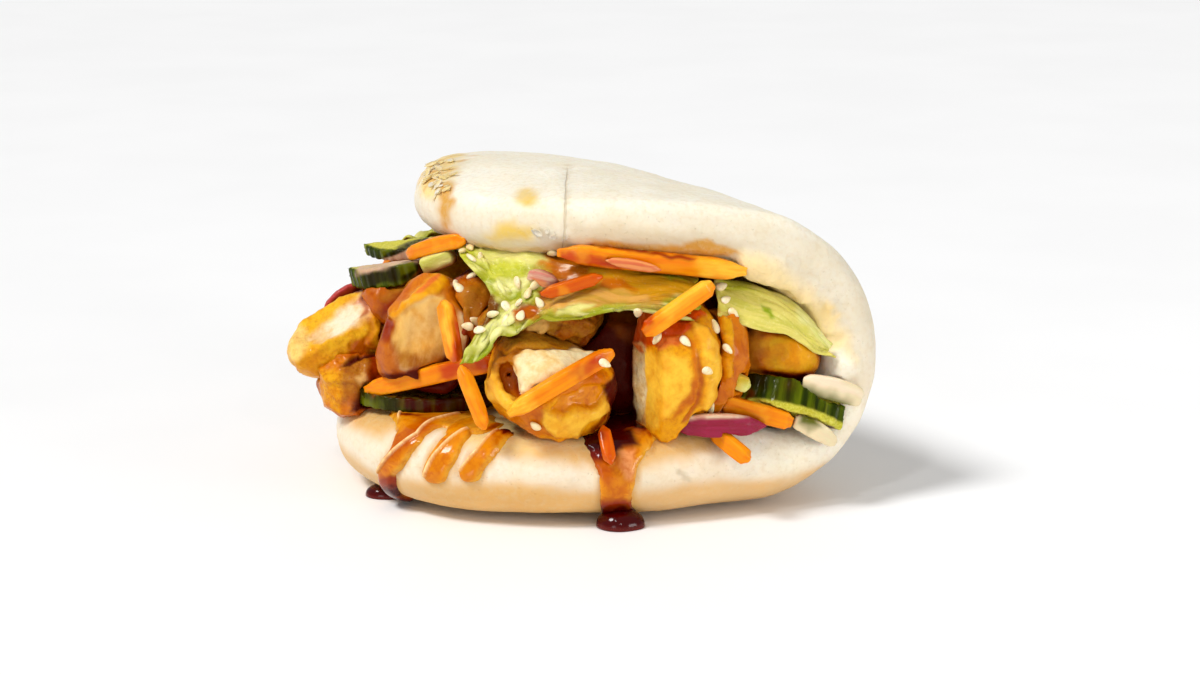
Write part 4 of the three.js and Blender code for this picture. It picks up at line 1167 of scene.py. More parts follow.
def sauce_depth(turn, level):
    """How thick sauce stands at each place of the lip in millimetres, below 0 where there is none,
    and from 0 to 1 how far up a thread it is."""
    x, y = lip_run(turn), level * LEVEL_MM
    flat = np.stack([x, y, 0 * x], axis=1)
    wobble = noise(flat, 2.6, 21, 2)
    depth = np.full(len(x), -1.0)
    for a, b in stretches(STROKES):
        away, t = from_line(x, y, a, b)
        wide = lerp(a[2], b[2], t) * (1 + 0.12 * wobble)
        dome = lerp(a[3], b[3], t) * (1 - np.minimum(away / wide, 1.4) ** 4)
        depth = np.maximum(depth, dome)
    thread_crest_and_highlight = np.zeros(len(x))
    for a, b in stretches(THREADS):
        away, _ = from_line(x + 0.5 * noise(flat, 5, 33), y, a, b)
        thread_crest_and_highlight = np.maximum(thread_crest_and_highlight, np.clip(1 - (away / THREAD_HALF) ** 2, 0, 1))
    return depth, thread_crest_and_highlight


SAUCE_TONES = {"sauce_thin": 0.0, "sauce": 0.25, "sauce_brown": 0.5, "sauce_dark": 0.72, "drop": 0.95}


def sauce_tone(deep):
    """The colour of sauce as deep as that, from 0 to 1."""
    colours = np.array([TINTS[tint][0] for tint in SAUCE_TONES])
    steps = list(SAUCE_TONES.values())
    return np.stack([np.interp(deep, steps, channel) for channel in colours.T], axis=1)


def build_sauce():
    turn, level = (grid.ravel() for grid in np.meshgrid(SAUCE_TURNS, SAUCE_LEVELS))
    depth, thread_crest_and_highlight = sauce_depth(turn, level)
    wet = smooth(depth / 0.3)
    rise = np.where(depth > 0, np.sqrt(np.clip(depth, 0, None)) * 0.95, np.maximum(depth, -0.4))
    top = bun_point(turn, level, rise + 0.12 + THREAD_HIGH * np.sqrt(thread_crest_and_highlight) * wet)
    foot = bun_point(turn, level, SAUCE_FOOT)
    _, quads = net_faces(len(SAUCE_LEVELS), len(SAUCE_TURNS))
    quads = quads[(depth[quads] > SAUCE_FROM).any(axis=1)]
    normals = vertex_normals(top, [quads])
    if normals[:, 2].mean() < 0:
        normals = -normals
    # Painted shade: sauce under and between the pieces turns darker.
    crowded_shade = smooth((sheltered(top, normals, [quads], depth > SAUCE_FROM) - 0.3) / 0.35)
    aside = (np.degrees(turn) - DARK_AT[0]) / DARK_REACH[0]
    above = (level - DARK_AT[1]) / DARK_REACH[1]
    shade = MAIN_SHADE * np.exp(-(aside**2) - above**2)
    foot_shade = smooth((1.28 - level) / 0.16)
    deep = 0.36 * depth + 0.6 * foot_shade + 0.7 * crowded_shade + shade + 0.05 * noise(top, 1.6, 5, 2)
    tone = sauce_tone(deep)
    tone, _, _ = lay_patches("sauce", top, normals, tone, wet, 3)
    # Painted highlight: the crests of the threads lighten to pale cream.
    tone = tinted(tone, "thread_crest_and_highlight", thread_crest_and_highlight * wet)
    closed_sheet("sauce_on_lip", top, foot, quads, SAUCE, {"tone": tone}, "dough")


def closed_sheet(name, top, foot, quads, material, fields, slot, replaces=()):
    """A body between two sheets that share their faces."""
    used = np.unique(quads)
    count = len(used)
    index = np.full(len(top), -1)
    index[used] = np.arange(count)
    quads = index[quads]
    back = quads[:, ::-1] + count
    edges = np.concatenate([quads[:, [k, (k + 1) % 4]] for k in range(4)]).tolist()
    keys = {tuple(edge) for edge in edges}
    a, b = np.array([edge for edge in edges if (edge[1], edge[0]) not in keys]).T
    wall = np.stack([b, a, a + count, b + count], axis=-1)
    points = np.vstack([top[used], foot[used]])
    both = {field: np.concatenate([values[used]] * 2) for field, values in fields.items()}
    make_piece(name, points, [np.vstack([quads, back, wall])], material, both, slot, replaces)


# Pools of sauce on the floor: their middle, and their half width, half depth and height.
POOL_RING, POOL_RINGS = 72, 25
POOLS = {
    "sauce_pool_front": ((8.3, -42.4), (4.4, 3.6, 3.4)),
    "sauce_pool_left": ((-36.2, -22.5), (4.8, 3.2, 2.6)),
    "sauce_pool_far": ((-44.0, 2.0), (2.6, 2.6, 2.2)),
}


def build_pools():
    turn, tilt = round_grid(POOL_RING, np.linspace(0, np.pi / 2, POOL_RINGS + 1)[1:])
    flat = np.stack([np.cos(turn), np.sin(turn), 0 * turn], axis=1)
    for name, (at, half) in POOLS.items():
        wobble = 1 + 0.08 * noise(flat + at[0], 0.9, 3)
        ring = half[:2] * wobble[:, None] * np.sin(tilt)[:, None] * flat[:, :2] + at
        dome = half[2] * np.cos(tilt) ** 0.8
        points = np.vstack([[*at, half[2]], np.column_stack([ring, dome]), [*at, 0.0]])
        fields = {"tone": sauce_tone(0.8 + points[:, 2] / 8)}
        make_piece(name, points, ring_faces(POOL_RINGS, POOL_RING), SAUCE, fields, "dough")


# Lettuce.
# A leaf's net of faces, the rows of places that it passes through, its waves, its ground tint,
# strokes of colour, and its seeds as shares along and across.
LEAVES = {
    "leaf_front": {
        "grid": (220, 90),
        "rows": [
            [(-18, -8, 47), (-8, -15, 47.5), (7, -18, 47), (22, -19, 44)],
            [(-22.5, -20, 47.5), (-10, -27, 49), (7, -32, 48.5), (23, -33, 44.5)],
            [(-16, -33, 41), (-8, -35.5, 42), (6, -38, 43), (23, -38, 41.5)],
            [(-21.7, -41.5, 30.5), (-13.5, -40.5, 36.3), (-4.8, -39, 39.5), (23, -39.5, 40)],
        ],
        "wave": 0.9,
        "waves": 3.5,
        "tint": "leaf",
        "strokes": [
            ("honey", 6.0, [(2, -31, 48), (12, -32, 47.5), (22, -33, 46)]),
            ("leaf_deep", 2.0, [(9, -31, 49), (20, -34, 46)]),
            ("amber", 3.4, [(-6, -30, 48), (3, -34, 46.5), (9, -36, 44.5)]),
            ("rust", 2.6, [(-13, -39, 39.5), (-7, -37.5, 42.5), (-1, -36, 44.5)]),
            ("caramel", 1.7, [(-3, -38.3, 41.5), (6, -38.5, 43), (15, -38.5, 42.3)]),
            ("rust", 1.3, [(3, -31, 49.3), (20, -31.5, 47.5)]),
        ],
        "seeds": [
            (0.02, 0.36), (0.06, 0.3), (0.03, 0.42), (0.1, 0.38), (0.1, 0.12), (0.42, 0.2),
            (0.26, 0.56), (0.3, 0.64), (0.34, 0.58), (0.28, 0.74), (0.38, 0.7), (0.22, 0.82),
            (0.14, 0.86), (0.33, 0.84),
        ],
    },
    "leaf_side": {
        "grid": (110, 80),
        "rows": [
            [(27, -19, 42), (36, -16, 39), (42, -15, 34.5), (45, -15, 30)],
            [(26, -29.5, 44), (35, -28, 42), (43.5, -26.5, 36.5), (48.8, -26, 30.5)],
            [(27, -35, 38.8), (36, -33, 35.6), (43.5, -30, 31.8), (49.2, -27.5, 28.2)],
        ],
        "wave": 0.4,
        "waves": 2.0,
        "tint": "leaf_pale",
        "strokes": [
            ("honey", 2.5, [(27, -33, 42)]),
            ("leaf_deep", 0.7, [(35.5, -31.5, 39.5), (38, -31.8, 37.5)]),
        ],
        "seeds": [(0.04, 0.62), (0.05, 0.8), (0.1, 0.92)],
    },
    "leaf_back": {
        "grid": (110, 60),
        "rows": [
            [(-15, 12, 45), (-10, 24, 44), (-3, 34, 41.5)],
            [(-27, 8, 45.5), (-22, 24, 44.5), (-11, 41, 40.5)],
            [(-36, 10, 42.5), (-31, 28, 40.5), (-18, 46, 37)],
        ],
        "wave": 0.8,
        "waves": 3.0,
        "tint": "leaf",
        "strokes": [("amber", 3.0, [(-22, 20, 44), (-14, 30, 43)])],
        "seeds": [(0.42, 0.8)],
    },
}
WAVE_LEAN = 0.3


def on_curve(points, t):
    """A centripetal Catmull-Rom curve through points, (n, ..., 3), at shares t of its spans."""
    n = len(points)
    place = np.clip(t, 0, 1) * (n - 1)
    first = np.minimum(np.floor(place).astype(int), n - 2)
    f = (place - first)[..., None]
    ends = np.stack([2 * points[0] - points[1], *points, 2 * points[-1] - points[-2]])
    own = (np.arange(len(first)),) if ends.ndim > 2 else ()
    p0, p1, p2, p3 = (ends[(first + k, *own)] for k in range(4))
    gaps = [np.linalg.norm(b - a, axis=-1, keepdims=True) for a, b in ((p0, p1), (p1, p2), (p2, p3))]
    d0, d1, d2 = np.sqrt(gaps)
    m1 = ((p1 - p0) / d0 - (p2 - p0) / (d0 + d1) + (p2 - p1) / d1) * d1
    m2 = ((p2 - p1) / d1 - (p3 - p1) / (d1 + d2) + (p3 - p2) / d2) * d1
    a = 2 * p1 - 2 * p2 + m1 + m2
    b = -3 * p1 + 3 * p2 - 2 * m1 - m2
    return ((a * f + b) * f + m1) * f + p1


def leaf_points(leaf, u, v):
    rows = [on_curve(np.array(row, float), u) for row in leaf["rows"]]
    point = on_curve(np.stack(rows), v)
    point[..., 2] += leaf["wave"] * v * np.sin(2 * np.pi * (leaf["waves"] * u + WAVE_LEAN * v))
    return point


# Where seeds lie and the normals there, as the pieces that carry them are built.
SEEDS = []


def build_leaf(name, leaf):
    along, across = (np.linspace(0, 1, count + 1) for count in leaf["grid"])
    u, v = (grid.ravel() for grid in np.meshgrid(along, across, indexing="ij"))
    ragged = 0.03 * noise(np.stack([v * 8, 0 * v, 0 * v], axis=1), 1.0, 12, 2) - 0.02 * np.sin(v * 9)
    middle = leaf_points(leaf, u * (1 + ragged * smooth((u - 0.7) / 0.3)), v)
    grid, quads = net_faces(len(along), len(across))
    normals = vertex_normals(middle, [quads])
    if normals[:, 2].mean() < 0:
        normals, quads = -normals, quads[:, ::-1]
    width = np.linalg.norm(middle[grid[:, -1]] - middle[grid[:, 0]], axis=1).mean()
    length = np.linalg.norm(middle[grid[-1]] - middle[grid[0]], axis=1).mean()
    fibre = np.stack([u * length, v * width, 0 * u], axis=1)
    lines_at = v * 5 + 0.5 * noise(np.stack([u * 3, v * 0, 0 * u], axis=1), 1.0, 4)
    rib = np.exp(-(((lines_at + 0.5) % 1 - 0.5) / 0.09) ** 2) * smooth((u - 0.05) / 0.3) * 0.8
    edge = smooth((v - 0.55) / 0.45) + smooth((0.2 - u) / 0.2)
    crisp = smooth((0.5 - u) / 0.3) if name == "leaf_front" else 0.3
    frill = 0.5 * edge * noise(fibre, 3.2, 8)
    frill = frill + (0.2 + 0.45 * crisp) * noise(fibre * (0.45, 1, 1), 1.9, 2, 2)
    creases = smooth(1 - np.abs(noise(fibre * (0.5, 1, 1), 1.6, 19)) / 0.35)
    middle = middle + normals * (frill + 0.25 * rib + 0.3 * crisp * creases)[:, None]
    normals = unit(vertex_normals(middle, [quads]))
    rim = np.minimum(np.minimum(u, 1 - u) * length, np.minimum(v, 1 - v) * width)
    half = 0.12 + 0.18 * np.sqrt(np.clip(rim / 0.8, 0, 1))
    tone, wet = base_coat(middle, leaf["tint"])
    tone = tinted(tone, "leaf_pale", smooth(frill / 0.7))
    tone = tinted(tone, "leaf_deep", 0.8 * smooth(-frill / 0.7))
    tone = tinted(tone, "leaf_rib", np.maximum(rib, 0.5 * crisp * creases))
    tone, wet = lay(middle, tone, wet, leaf["strokes"], 6)
    to_camera = -np.abs(normals @ AHEAD)[:, None] * AHEAD
    tone, wet, rise = lay_patches(name, middle, to_camera, tone, wet, 6)
    middle = middle + normals * rise[:, None]
    fields = {"tone": tone, "wet": wet, "fibre": fibre}
    top, foot = middle + normals * half[:, None], middle - normals * half[:, None]
    piece = name.replace("leaf", "lettuce")
    closed_sheet(piece, top, foot, quads, LETTUCE, fields, "lettuce", [name])
    tree = tree_of(top, quads)
    for place in leaf_points(leaf, *np.array(leaf["seeds"]).T):
        near, normal, _, _ = tree.find_nearest(Vector(place))
        SEEDS.append((np.array(near), np.array(normal if normal.z > 0 else -normal)))


# Pieces whose form comes from their solid.
def organic(node, cell, rounds):
    """The node's own surface as an even net of small quads, with its edges rounded."""
    solid = frame["nodes"][node].data
    mesh = bpy.data.meshes.new("net")
    mesh.from_pydata(solid_points(solid).tolist(), [], [tuple(p.vertices) for p in solid.polygons])
    holder = linked("net", mesh)
    change = holder.modifiers.new("net", "REMESH")
    change.mode = "VOXEL"
    change.voxel_size = cell
    net = holder.evaluated_get(bpy.context.evaluated_depsgraph_get()).to_mesh()
    points = np.empty(len(net.vertices) * 3)
    net.vertices.foreach_get("co", points)
    quads = np.array([tuple(p.vertices) for p in net.polygons])
    holder.to_mesh_clear()
    bpy.data.objects.remove(holder)
    bpy.data.meshes.remove(mesh)
    return relaxed(points.reshape(-1, 3), [quads], rounds), [quads]


def own_axes(points):
    """Each point along the piece's length, width and depth in millimetres, and these axes."""
    middle = points.mean(axis=0)
    _, axes = np.linalg.eigh(np.cov((points - middle).T))
    axes = axes[:, ::-1]
    axes = axes * np.sign(axes[np.abs(axes).argmax(axis=0), range(3)])
    return (points - middle) @ axes, axes


# Where a piece was cut: the way its cut face looks.
CUTS = {
    "chicken_big_cut": [(0.1, -0.97, 0.05)],
    "chicken_standing": [(-0.86, -0.5, 0.0)],
    "chicken_back_middle": [(-0.9, 0.2, 0.1)],
}
SWIRL = [(-2, -35.4, 38), (1.5, -34.6, 38), (3, -32.5, 36), (1, -34, 34.8)]
# Each piece's own look: its ground tint, how coarse its crust is, and ridges on it.
LOOKS = {
    "chicken_left_tip": ("lemon", 0.5, [(0.8, 2.2, [(-55, -12.5, 27.5)])]),
    "chicken_upper_left": ("glaze", 0.3, []),
    "chicken_low_left": ("amber", 0.9, []),
    "chicken_big_cut": ("amber", 0.15, []),
    "chicken_mid_left": ("glaze", 0.25, [(0.6, 0.9, [(-21, -28, 38), (-19, -28.4, 34)])]),
    "chicken_under_leaf": (
        "olive", 1.0, [(0.8, 1.0, SWIRL), (0.5, 1.2, [(-9, -35.5, 35.5), (-4, -36, 36.5)])],
    ),
    "chicken_shell": (
        "gold", 0.5, [(-0.8, 1.0, [(-9.4, -45, 28.2), (-5, -45.5, 28.2), (1, -44, 29.2)])],
    ),
    "chicken_standing": ("gold", 0.6, []),
    "chicken_standing_right": ("amber", 0.3, [(0.6, 1.3, [(28.4, -38.6, 34), (28.8, -38.2, 26)])]),
    "chicken_right": ("mustard", 0.3, []),
    # The pieces in the gap and inside are maroon: dark sauce, and painted shade.
    "chicken_gap": ("maroon", 0.2, []),
    "chicken_inner_left": ("maroon", 0.3, []),
    "chicken_inner_right": ("maroon", 0.3, []),
    "chicken_inner_fold": ("glaze", 0.3, []),
    "chicken_back_front": ("gold", 0.7, [(0.8, 1.4, [(-45, 3, 27), (-45, 12, 26)])]),
    "chicken_back_middle": ("gold", 0.5, []),
    "chicken_back_end": ("mustard", 0.8, [(0.7, 1.4, [(-26, 38, 26), (-20, 43, 28)])]),
}
# Seeds on a piece: the middle of the piece and the ways out to them.
SEEDED = {
    "chicken_shell": ((-4.5, -36, 25.3), [(-0.3, -0.9, -0.5), (0.6, -0.7, 0.5)]),
    "chicken_standing": (
        (18.5, -35, 28.5), [(0.2, -0.7, 0.75), (-0.35, -0.6, 0.8), (0.7, -0.8, 0.2)],
    ),
    "chicken_standing_right": ((26, -32, 28.6), [(0.3, -0.8, 0.6)]),
}
# How far out seeds are dropped from, and how the crust is levelled under them.
SEED_FROM = 40
SEED_CLEAR = 2.2
SEED_ROUNDS = 60
# Pieces that reach further forward than this get the small cells.
FRONT_TO = -16
FRONT_CELL = 0.34
BACK_CELL = 0.6
FRIED_ROUNDS = 6
FRIED_SEED = 40
# Pooled sauce and painted shade in sheltered places: tint, the shelter where it starts, its most.
SHELTER_TINTS = [("amber", 0.28, 0.6), ("rust", 0.42, 0.9), ("maroon", 0.58, 1.0)]
DARKEST_SHADE_FROM = 0.66


def build_fried(node, seed):
    tint, coarseness, ridges = LOOKS[node]
    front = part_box(node)[0].y / MM < FRONT_TO and "inner" not in node
    points, faces = organic(node, FRONT_CELL if front else BACK_CELL, FRIED_ROUNDS)
    quads = faces[0]
    spots = []
    at, ways = SEEDED.get(node, (None, []))
    tree = tree_of(points, quads)
    for way in ways:
        way = Vector(way).normalized()
        spots.append(np.array(tree.ray_cast(Vector(at) + SEED_FROM * way, -way)[0]))
        flat = smooth((SEED_CLEAR - np.linalg.norm(points - spots[-1], axis=1)) / 0.6)
        points = relaxed(points, faces, SEED_ROUNDS, flat)
    normals = vertex_normals(points, faces)
    cut = np.zeros(len(points))
    for way in CUTS.get(node, []):
        way = unit(way)
        level = points @ way
        near = smooth((level - level.max() + 1.1) / 0.7)
        cut = np.maximum(cut, near * smooth((normals @ way - 0.6) / 0.3))
    fibre, _ = own_axes(points)
    warp = np.stack([noise(points, 5, seed + k) for k in (21, 22, 23)], axis=1)
    fold = 1 - np.abs(noise(points + 1.6 * warp, 6.5, seed + 5))
    broad = 0.9 * (fold**3 - 0.4) + 0.25 * noise(points, 3.4, seed, 2)
    pits = smooth((noise(points, 2.0, seed + 7) - 0.5) / 0.25)
    crags = 0.2 * noise(points, 1.5, seed + 3, 3) - 0.5 * pits
    coarse = np.full(len(points), coarseness)
    crust = broad * (0.3 + 0.7 * coarse) + crags * coarse
    meat = 0.14 * noise(fibre * (0.4, 1, 1), 1.8, seed, 2)
    calm = np.ones(len(points))
    for spot in spots:
        calm *= 1 - 0.8 * smooth((SEED_CLEAR - np.linalg.norm(points - spot, axis=1)) / 0.8)
    plain = points
    tone, wet = base_coat(plain, tint)
    deep_gold = smooth(0.5 * noise(plain, 5, seed + 11, 2) + 0.6 * smooth(-broad / 0.5))
    tone = tinted(tone, "amber", 0.45 * deep_gold)
    if node == "chicken_standing":
        cut = cut * smooth((plain[:, 1] + 37.6) / 1.2)
    tone = tinted(tone, "pale", cut)
    wet = wet * (1 - cut)
    # Painted shade, with pooled sauce: sheltered places turn amber, rust and maroon, and wetter.
    shelter = sheltered(plain, normals, faces) + 0.06 * noise(plain, 2.2, seed + 15, 2)
    for tint, start, most in SHELTER_TINTS[-1:] if tint == "maroon" else SHELTER_TINTS:
        share = most * smooth((shelter - start) / 0.25)
        tone = tinted(tone, tint, share)
        wet = np.maximum(wet, share)
    tone, wet, rise = lay_patches(node, plain, normals, tone, wet, seed)
    for tint, share, _ in patches_on(node, plain, normals, seed):
        if tint in CALM_TINTS:
            crust = crust * (1 - 0.6 * share)
            coarse = coarse * (1 - 0.7 * share)
    # Painted shade: the most sheltered places turn maroon.
    deep = smooth((shelter - DARKEST_SHADE_FROM) / 0.25)
    tone = tinted(tone, "maroon", deep)
    rise = rise + lerp(crust, meat, cut) + raised(plain, ridges)
    points = plain + normals * (rise * calm)[:, None]
    cut = cut * smooth((tone.mean(axis=1) - 0.1) / 0.15)
    fields = {"tone": tone, "wet": wet, "cut": cut, "coarse": coarse, "fibre": fibre}
    make_piece("fried_" + node, points, faces, FRIED, fields, "fried_chicken", [node])
    tree = tree_of(points, quads)
    for spot in spots:
        near, normal, _, _ = tree.find_nearest(Vector(spot))
        SEEDS.append((np.array(near), np.array(normal)))


# Some strips' ground tint and strokes, the other strips' tints, and the form of a strip's ends
# and edges.
STRIP_LOOKS = {
    "carrot_tip_sauce": ("deep_orange", [("rust", 2.2, [(4, -44, 22), (4.5, -44.5, 19)])]),
    "carrot_in_glaze": ("deep_orange", []),
    "onion_purple": ("purple", []),
    "onion_far_left": ("rose", []),
    "onion_on_carrot": ("coral_pale", []),
    "onion_on_leaf": ("veil", []),
}
STRIP_TINTS = {"carrot": "orange", "red_onion": "blush", "lettuce_stalk": "leaf_pale"}
RIM_FROM = 0.72
TAPER = 0.3
TAPER_FROM = 0.8
SQUARE = 0.8
SQUARE_TO = 0.78
STRIP_CELL = 0.29


def build_strip(node, material, slot):
    points, faces = organic(node, STRIP_CELL, 1)
    fibre, axes = own_axes(points)
    along = fibre[:, 0] / np.abs(fibre[:, 0]).max()
    middle = [np.polyval(np.polyfit(along, fibre[:, k], 3), along) for k in (1, 2)]
    pinch = TAPER * smooth((np.abs(along) - TAPER_FROM) / (1 - TAPER_FROM))
    pulled = [pinch * (m - fibre[:, k]) for m, k in zip(middle, (1, 2))]
    points = points + np.stack([0 * along, *pulled], axis=1) @ axes.T
    if slot != "red_onion":
        side = np.stack([fibre[:, k] - m for m, k in zip(middle, (1, 2))], axis=1)
        share = np.abs(side / np.percentile(np.abs(side), 97, axis=0))
        squareness = (share**6).sum(axis=1) ** (1 / 6)
        sharpen = smooth((squareness - 0.5) / 0.25) * (1 - smooth((np.abs(along) - SQUARE_TO) / 0.15))
        grow = SQUARE * sharpen * np.clip(1 / np.maximum(squareness, 0.5) - 1, -0.2, 0.25)
        points = points + (side * grow[:, None]) @ axes[:, 1:].T
    normals = vertex_normals(points, faces)
    points = points + normals * (0.08 * noise(fibre * (0.15, 1, 1), 0.9, 3, 2))[:, None]
    shelter = sheltered(points, normals, faces)
    tint, strokes = STRIP_LOOKS.get(node, (STRIP_TINTS[slot], []))
    tone, wet = base_coat(points, tint)
    if tint == "purple":
        height = (points[:, 2] - points[:, 2].min()) / np.ptp(points[:, 2])
        pale = smooth((height - RIM_FROM + 0.1 * noise(fibre, 3, 2)) / 0.2)
        tone = tinted(tone, "blush", pale)
    if slot == "carrot":
        soaked = smooth(0.4 * noise(points, 6, 31, 2))
        tone = tinted(tone, "deep_orange", soaked)
        wet = np.maximum(wet, 0.6 * soaked)
    tone, wet = lay(points, tone, wet, strokes, 9)
    tone, wet, _ = lay_patches(node, points, normals, tone, wet, 9)
    # Painted shade, with some sauce: sheltered places turn rust red, the most sheltered dark.
    share = smooth((shelter - 0.35) / 0.3)
    tone = tinted(tone, "rust", 0.8 * share)
    tone = tinted(tone, "dark", smooth((shelter - 0.6) / 0.3))
    veins = np.full(len(points), 0.12 if tint == "blush" else 0.9)
    fields = {"tone": tone, "wet": np.maximum(wet, share), "fibre": fibre, "veins": veins}
    make_piece("cut_" + node, points, faces, material, fields, slot, [node])


# Half slices as in the solids' source: where they are, how they are turned, and their radius.
SLICE_CELL = 0.33
SLICES = {
    "cucumber_right": ((40, -33.5, 23.4), (-34, 10, -84), 16.0),
    "cucumber_low_left": ((-30, -27, 19), (0, 0, -95), 17.0),
    "cucumber_top_left": ((-38, -13, 41), (0, -12, -110), 11.0),
    "cucumber_behind": ((-34, -1, 43), (10, -10, -100), 12.0),
    "cucumber_back": ((-40, 20, 33), (0, -20, 160), 16.0),
    "cucumber_back_low": ((-31, 36, 19.2), (0, 0, 140), 17.0),
}
SOAKED = {"cucumber_low_left": 0.45}


def turned(angles):
    """three.js turns about X, then Y, then Z of the turned frame."""
    x, y, z = (math.radians(a) for a in angles)
    rx, ry, rz = (np.array(Euler(e).to_matrix()) for e in ((x, 0, 0), (0, y, 0), (0, 0, z)))
    return rx @ ry @ rz


def build_slice(node):
    at, turn, radius = SLICES[node]
    points, faces = organic(node, SLICE_CELL, 2)
    local = (points - np.array(at)) @ turned(turn)
    from_middle = np.hypot(local[:, 0] + radius, local[:, 1])
    normals = vertex_normals(points, faces)
    rind = smooth((from_middle - radius + 0.9) / 0.5)
    around = np.arctan2(local[:, 1], local[:, 0] + radius)
    swell = 0.08 * noise(points, 1.5, 5, 2) + 0.1 * rind * np.sin(around * 40)
    points = points + normals * swell[:, None]
    core = smooth((0.55 - from_middle / radius) / 0.1)
    fibre = np.stack([from_middle, around * radius, local[:, 2]], axis=1)
    # Sheltered places count as wet, which the material darkens to red: sauce, and painted shade.
    shelter = smooth((sheltered(points, normals, faces) - 0.35) / 0.4)
    wet = np.clip(0.2 * noise(points, 5, 17, 2) + shelter + SOAKED.get(node, 0), 0, 1)
    if node == "cucumber_right":
        rind = rind * smooth((local[:, 2] + 2.1) / 0.6)
    tone, cover = np.zeros((len(points), 3)), np.zeros(len(points))
    for tint, share, _ in patches_on(node, points, normals, 11):
        under = cover * (1 - share)
        cover = under + share
        total = tone * under[:, None] + share[:, None] * TINTS[tint][0]
        tone = total / np.maximum(cover, 1e-6)[:, None]
    fields = {"skin": rind, "core": core, "fibre": fibre}
    fields.update({"wet": wet * (1 - cover), "tone": tone, "cover": cover})
    make_piece("slice_" + node, points, faces, CUCUMBER, fields, "cucumber", [node])


# Sesame.
def seed_points(size):
    turn, tilt = round_grid(SEED_RING, np.linspace(0, np.pi, SEED_RINGS + 2)[1:-1])
    local = np.stack([np.cos(tilt), np.sin(tilt) * np.cos(turn), np.sin(tilt) * np.sin(turn)], axis=1)
    local = np.vstack([[1, 0, 0], local, [-1, 0, 0]])
    local[:, 1] *= 1 - 0.35 * local[:, 0]
    return local * SEED_HALF * size


# Seeds that are put where the front view shows them, across and up in millimetres.
LOOSE_SEEDS = [
    (-29.2, 10.5), (-28.2, 9.7), (-25.4, 12.1), (-18.6, 5.9), (22.8, 2.1), (0.8, -5.1), (7.6, 5.3),
    (22.6, -14.1), (-9.6, 17.3), (-25, 3.3), (-26.2, 2.3), (-23.8, 1.3), (-21.4, 4.9),
]
CARRIERS = ("fried", "lettuce", "cut_", "bun_dough", "sauce")


def surfaces():
    """The pieces that may carry scattered things, as trees."""
    depsgraph = bpy.context.evaluated_depsgraph_get()
    carriers = [piece for piece in bpy.context.scene.objects if piece.name.startswith(CARRIERS)]
    return [BVHTree.FromObject(piece, depsgraph) for piece in carriers]


def carried(places, trees):
    """Where places of the front view lie on the pieces built so far, and the normals there."""
    eye = Vector(to_row(AIM - AHEAD * CAMERA_AWAY))
    found = []
    for place in places:
        aside = np.array([place[0], 0, 0])
        way = Vector(AHEAD * CAMERA_AWAY + UPWARD * place[1] + aside).normalized()
        hits = [tree.ray_cast(eye, way) for tree in trees]
        hits = [hit for hit in hits if hit[0] is not None]
        if hits:
            at, normal, _, _ = min(hits, key=lambda hit: hit[3])
            found.append((np.array(at) / MM + CENTRE, np.array(normal)))
    return found


# Scraps of skin: how many, and the outline of their place in the front view.
FLAKES = [
    (30, [(-35.2, 31.9), (-33.6, 35.1), (-28.4, 35.9), (-29.6, 32.3), (-30.4, 28.3), (-34, 27.9)]),
    (4, [(-14.4, 21.5), (-10.4, 21.3), (-6.4, 20.7), (-6.8, 19.1), (-12, 19.5), (-14, 19.9)]),
]
FLAKE_LEAN = 0.22
FLAKES_WARM_TO = -20
FLAKE_RING, FLAKE_RINGS = 12, 3
FLAKE_HALF = 0.09
FLAKE_DRAWS = 11


def flake(rng, at, normal):
    """A thin curled scrap of skin, closed."""
    turn, out = round_grid(FLAKE_RING, np.linspace(0, 1, FLAKE_RINGS + 1)[1:])
    jag = 1 + 0.25 * np.sin(2 * turn + rng.uniform(0, 6))
    jag = jag + 0.15 * np.sin(5 * turn + rng.uniform(0, 6))
    size = rng.uniform(0.7, 1.4)
    reach = size * out * jag
    flat = np.stack([reach * np.cos(turn), 0.55 * reach * np.sin(turn), 0.3 * size * out**2], axis=1)
    tip = np.array([0, 0, FLAKE_HALF])
    half = (1 - 0.7 * out)[:, None] * tip
    under = (flat - half).reshape(FLAKE_RINGS, FLAKE_RING, 3)[::-1].reshape(-1, 3)
    lean = unit(normal + FLAKE_LEAN * rng.normal(size=3))
    points = np.vstack([tip, flat + half, under, -tip])
    return stood(points, at, lean, rng.uniform(0, 6.3)) + 0.05 * normal


def build_flakes(trees):
    rng = np.random.default_rng(FLAKE_DRAWS)
    flakes = []
    for count, outline in FLAKES:
        places = rng.uniform(np.min(outline, axis=0), np.max(outline, axis=0), (4 * count, 2))
        places = places[within(places, outline) > 0][:count]
        flakes += [flake(rng, at, normal) for at, normal in carried(places, trees)]
    points, faces = gathered(flakes, 2 * FLAKE_RINGS, FLAKE_RING)
    tone, wet = base_coat(points, "cream")
    tone = tinted(tone, "stain", points[:, 0] < FLAKES_WARM_TO)
    tone = tinted(tone, "cream", smooth(2 * noise(points, 1.6, 3)))
    fields = {"tone": tone, "wet": wet, "specks": 0 * wet}
    make_piece("dough_flakes", points, faces, DOUGH, fields, "dough")


def build_seeds(trees):
    rng = np.random.default_rng(SEED_DRAWS)
    seeds = []
    for at, normal in SEEDS + carried(LOOSE_SEEDS, trees):
        lean = unit(normal + 0.25 * rng.normal(size=3))
        spin, size = rng.uniform(0, 2 * np.pi), rng.uniform(0.8, 0.98)
        seeds.append(stood(seed_points(size), at + normal * SEED_UP, lean, spin))
    points, faces = gathered(seeds, SEED_RINGS, SEED_RING)
    make_piece("sesame_seeds", points, faces, SESAME, {}, "dough")


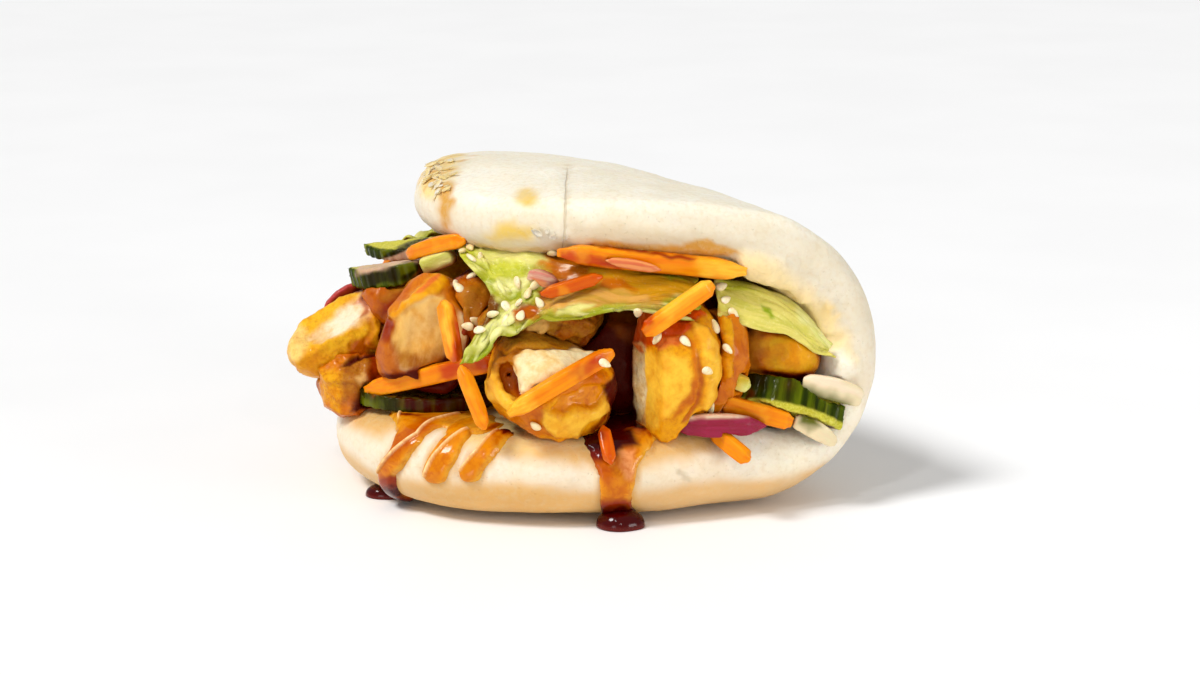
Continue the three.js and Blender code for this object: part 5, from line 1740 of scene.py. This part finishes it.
build_bun()
build_sauce()
build_pools()
for name, leaf in LEAVES.items():
    build_leaf(name, leaf)
STRIPS = {
    "carrot": (CARROT, "carrot"),
    "onion": (ONION, "red_onion"),
    "stalk": (LETTUCE, "lettuce_stalk"),
}
for index, node in enumerate(sorted(frame["nodes"])):
    kind = node.split("_")[0]
    if kind == "chicken":
        build_fried(node, FRIED_SEED + index)
    elif kind == "cucumber":
        build_slice(node)
    elif kind in STRIPS:
        build_strip(node, *STRIPS[kind])
carriers = surfaces()
build_seeds(carriers)
build_flakes(carriers)

# Floor, light and camera.
FLOOR_HALF = 3.0
FLOOR_UNDER = 0.0001
AIMED_AT = Vector(to_row(AIM))
WORLD_POWER = 0.45
# Each light's kind, place, size, an angle for a sun and else a length, and power.
LIGHTS = {
    "key": ("SUN", (-0.56, -0.28, 0.85), math.radians(16), 2.2),
    "fill_right": ("AREA", (0.82, -0.6, 0.1), 0.4, 3.4),
    "fill_left": ("AREA", (-0.4, -0.85, 0.06), 0.3, 0.8),
    "spark": ("AREA", (-0.25, -0.55, 0.75), 0.08, 0.8),
    "spark_low": ("AREA", (0.2, -0.85, 0.45), 0.06, 0.4),
}
LENS = 90
SENSOR = 36
CLIP_START = 0.01


def build_floor():
    mesh = bpy.data.meshes.new("floor")
    h = FLOOR_HALF
    mesh.from_pydata([(-h, -h, 0), (h, -h, 0), (h, h, 0), (-h, h, 0)], [], [(0, 1, 2, 3)])
    s = Shader("floor_white")
    tone = s.mix(s.span(s.noise(60, 2), 0.3, 0.7), (0.93, 0.93, 0.93), (0.95, 0.95, 0.95))
    mesh.materials.append(s.finish(tone, 0.6, s.bump(s.noise(2, 2), 0.01)))
    floor = linked("floor", mesh)
    floor.location.z = -FLOOR_UNDER
    floor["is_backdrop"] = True


def aim_along(holder, place, way):
    holder.location = place
    holder.rotation_mode = "QUATERNION"
    holder.rotation_quaternion = way.to_track_quat("-Z", "Y")


def add_light(name, kind, place, size, power):
    """A light that shines at the part."""
    light = bpy.data.lights.new(name, kind)
    light.energy = power
    if kind == "SUN":
        light.angle = size
    else:
        light.shape = "DISK"
        light.size = size
    aim_along(linked(name, light), place, AIMED_AT - Vector(place))


def build_studio():
    world = bpy.data.worlds.new("studio")
    world.use_nodes = True
    background = world.node_tree.nodes["Background"].inputs
    background["Color"].default_value = (1.0, 1.0, 1.0, 1.0)
    background["Strength"].default_value = WORLD_POWER
    bpy.context.scene.world = world
    for name, light in LIGHTS.items():
        add_light(name, *light)
    bpy.context.scene.view_settings.view_transform = "Standard"
    camera = linked("camera", bpy.data.cameras.new("camera"))
    camera.data.lens = LENS
    camera.data.sensor_width = SENSOR
    camera.data.clip_start = CLIP_START
    aim_along(camera, AIMED_AT - Vector(AHEAD) * CAMERA_AWAY * MM, Vector(AHEAD))
    bpy.context.scene.camera = camera


build_floor()
build_studio()
sizes = [[list(map(float, corner)) for corner in box] for box in (cad_box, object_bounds())]
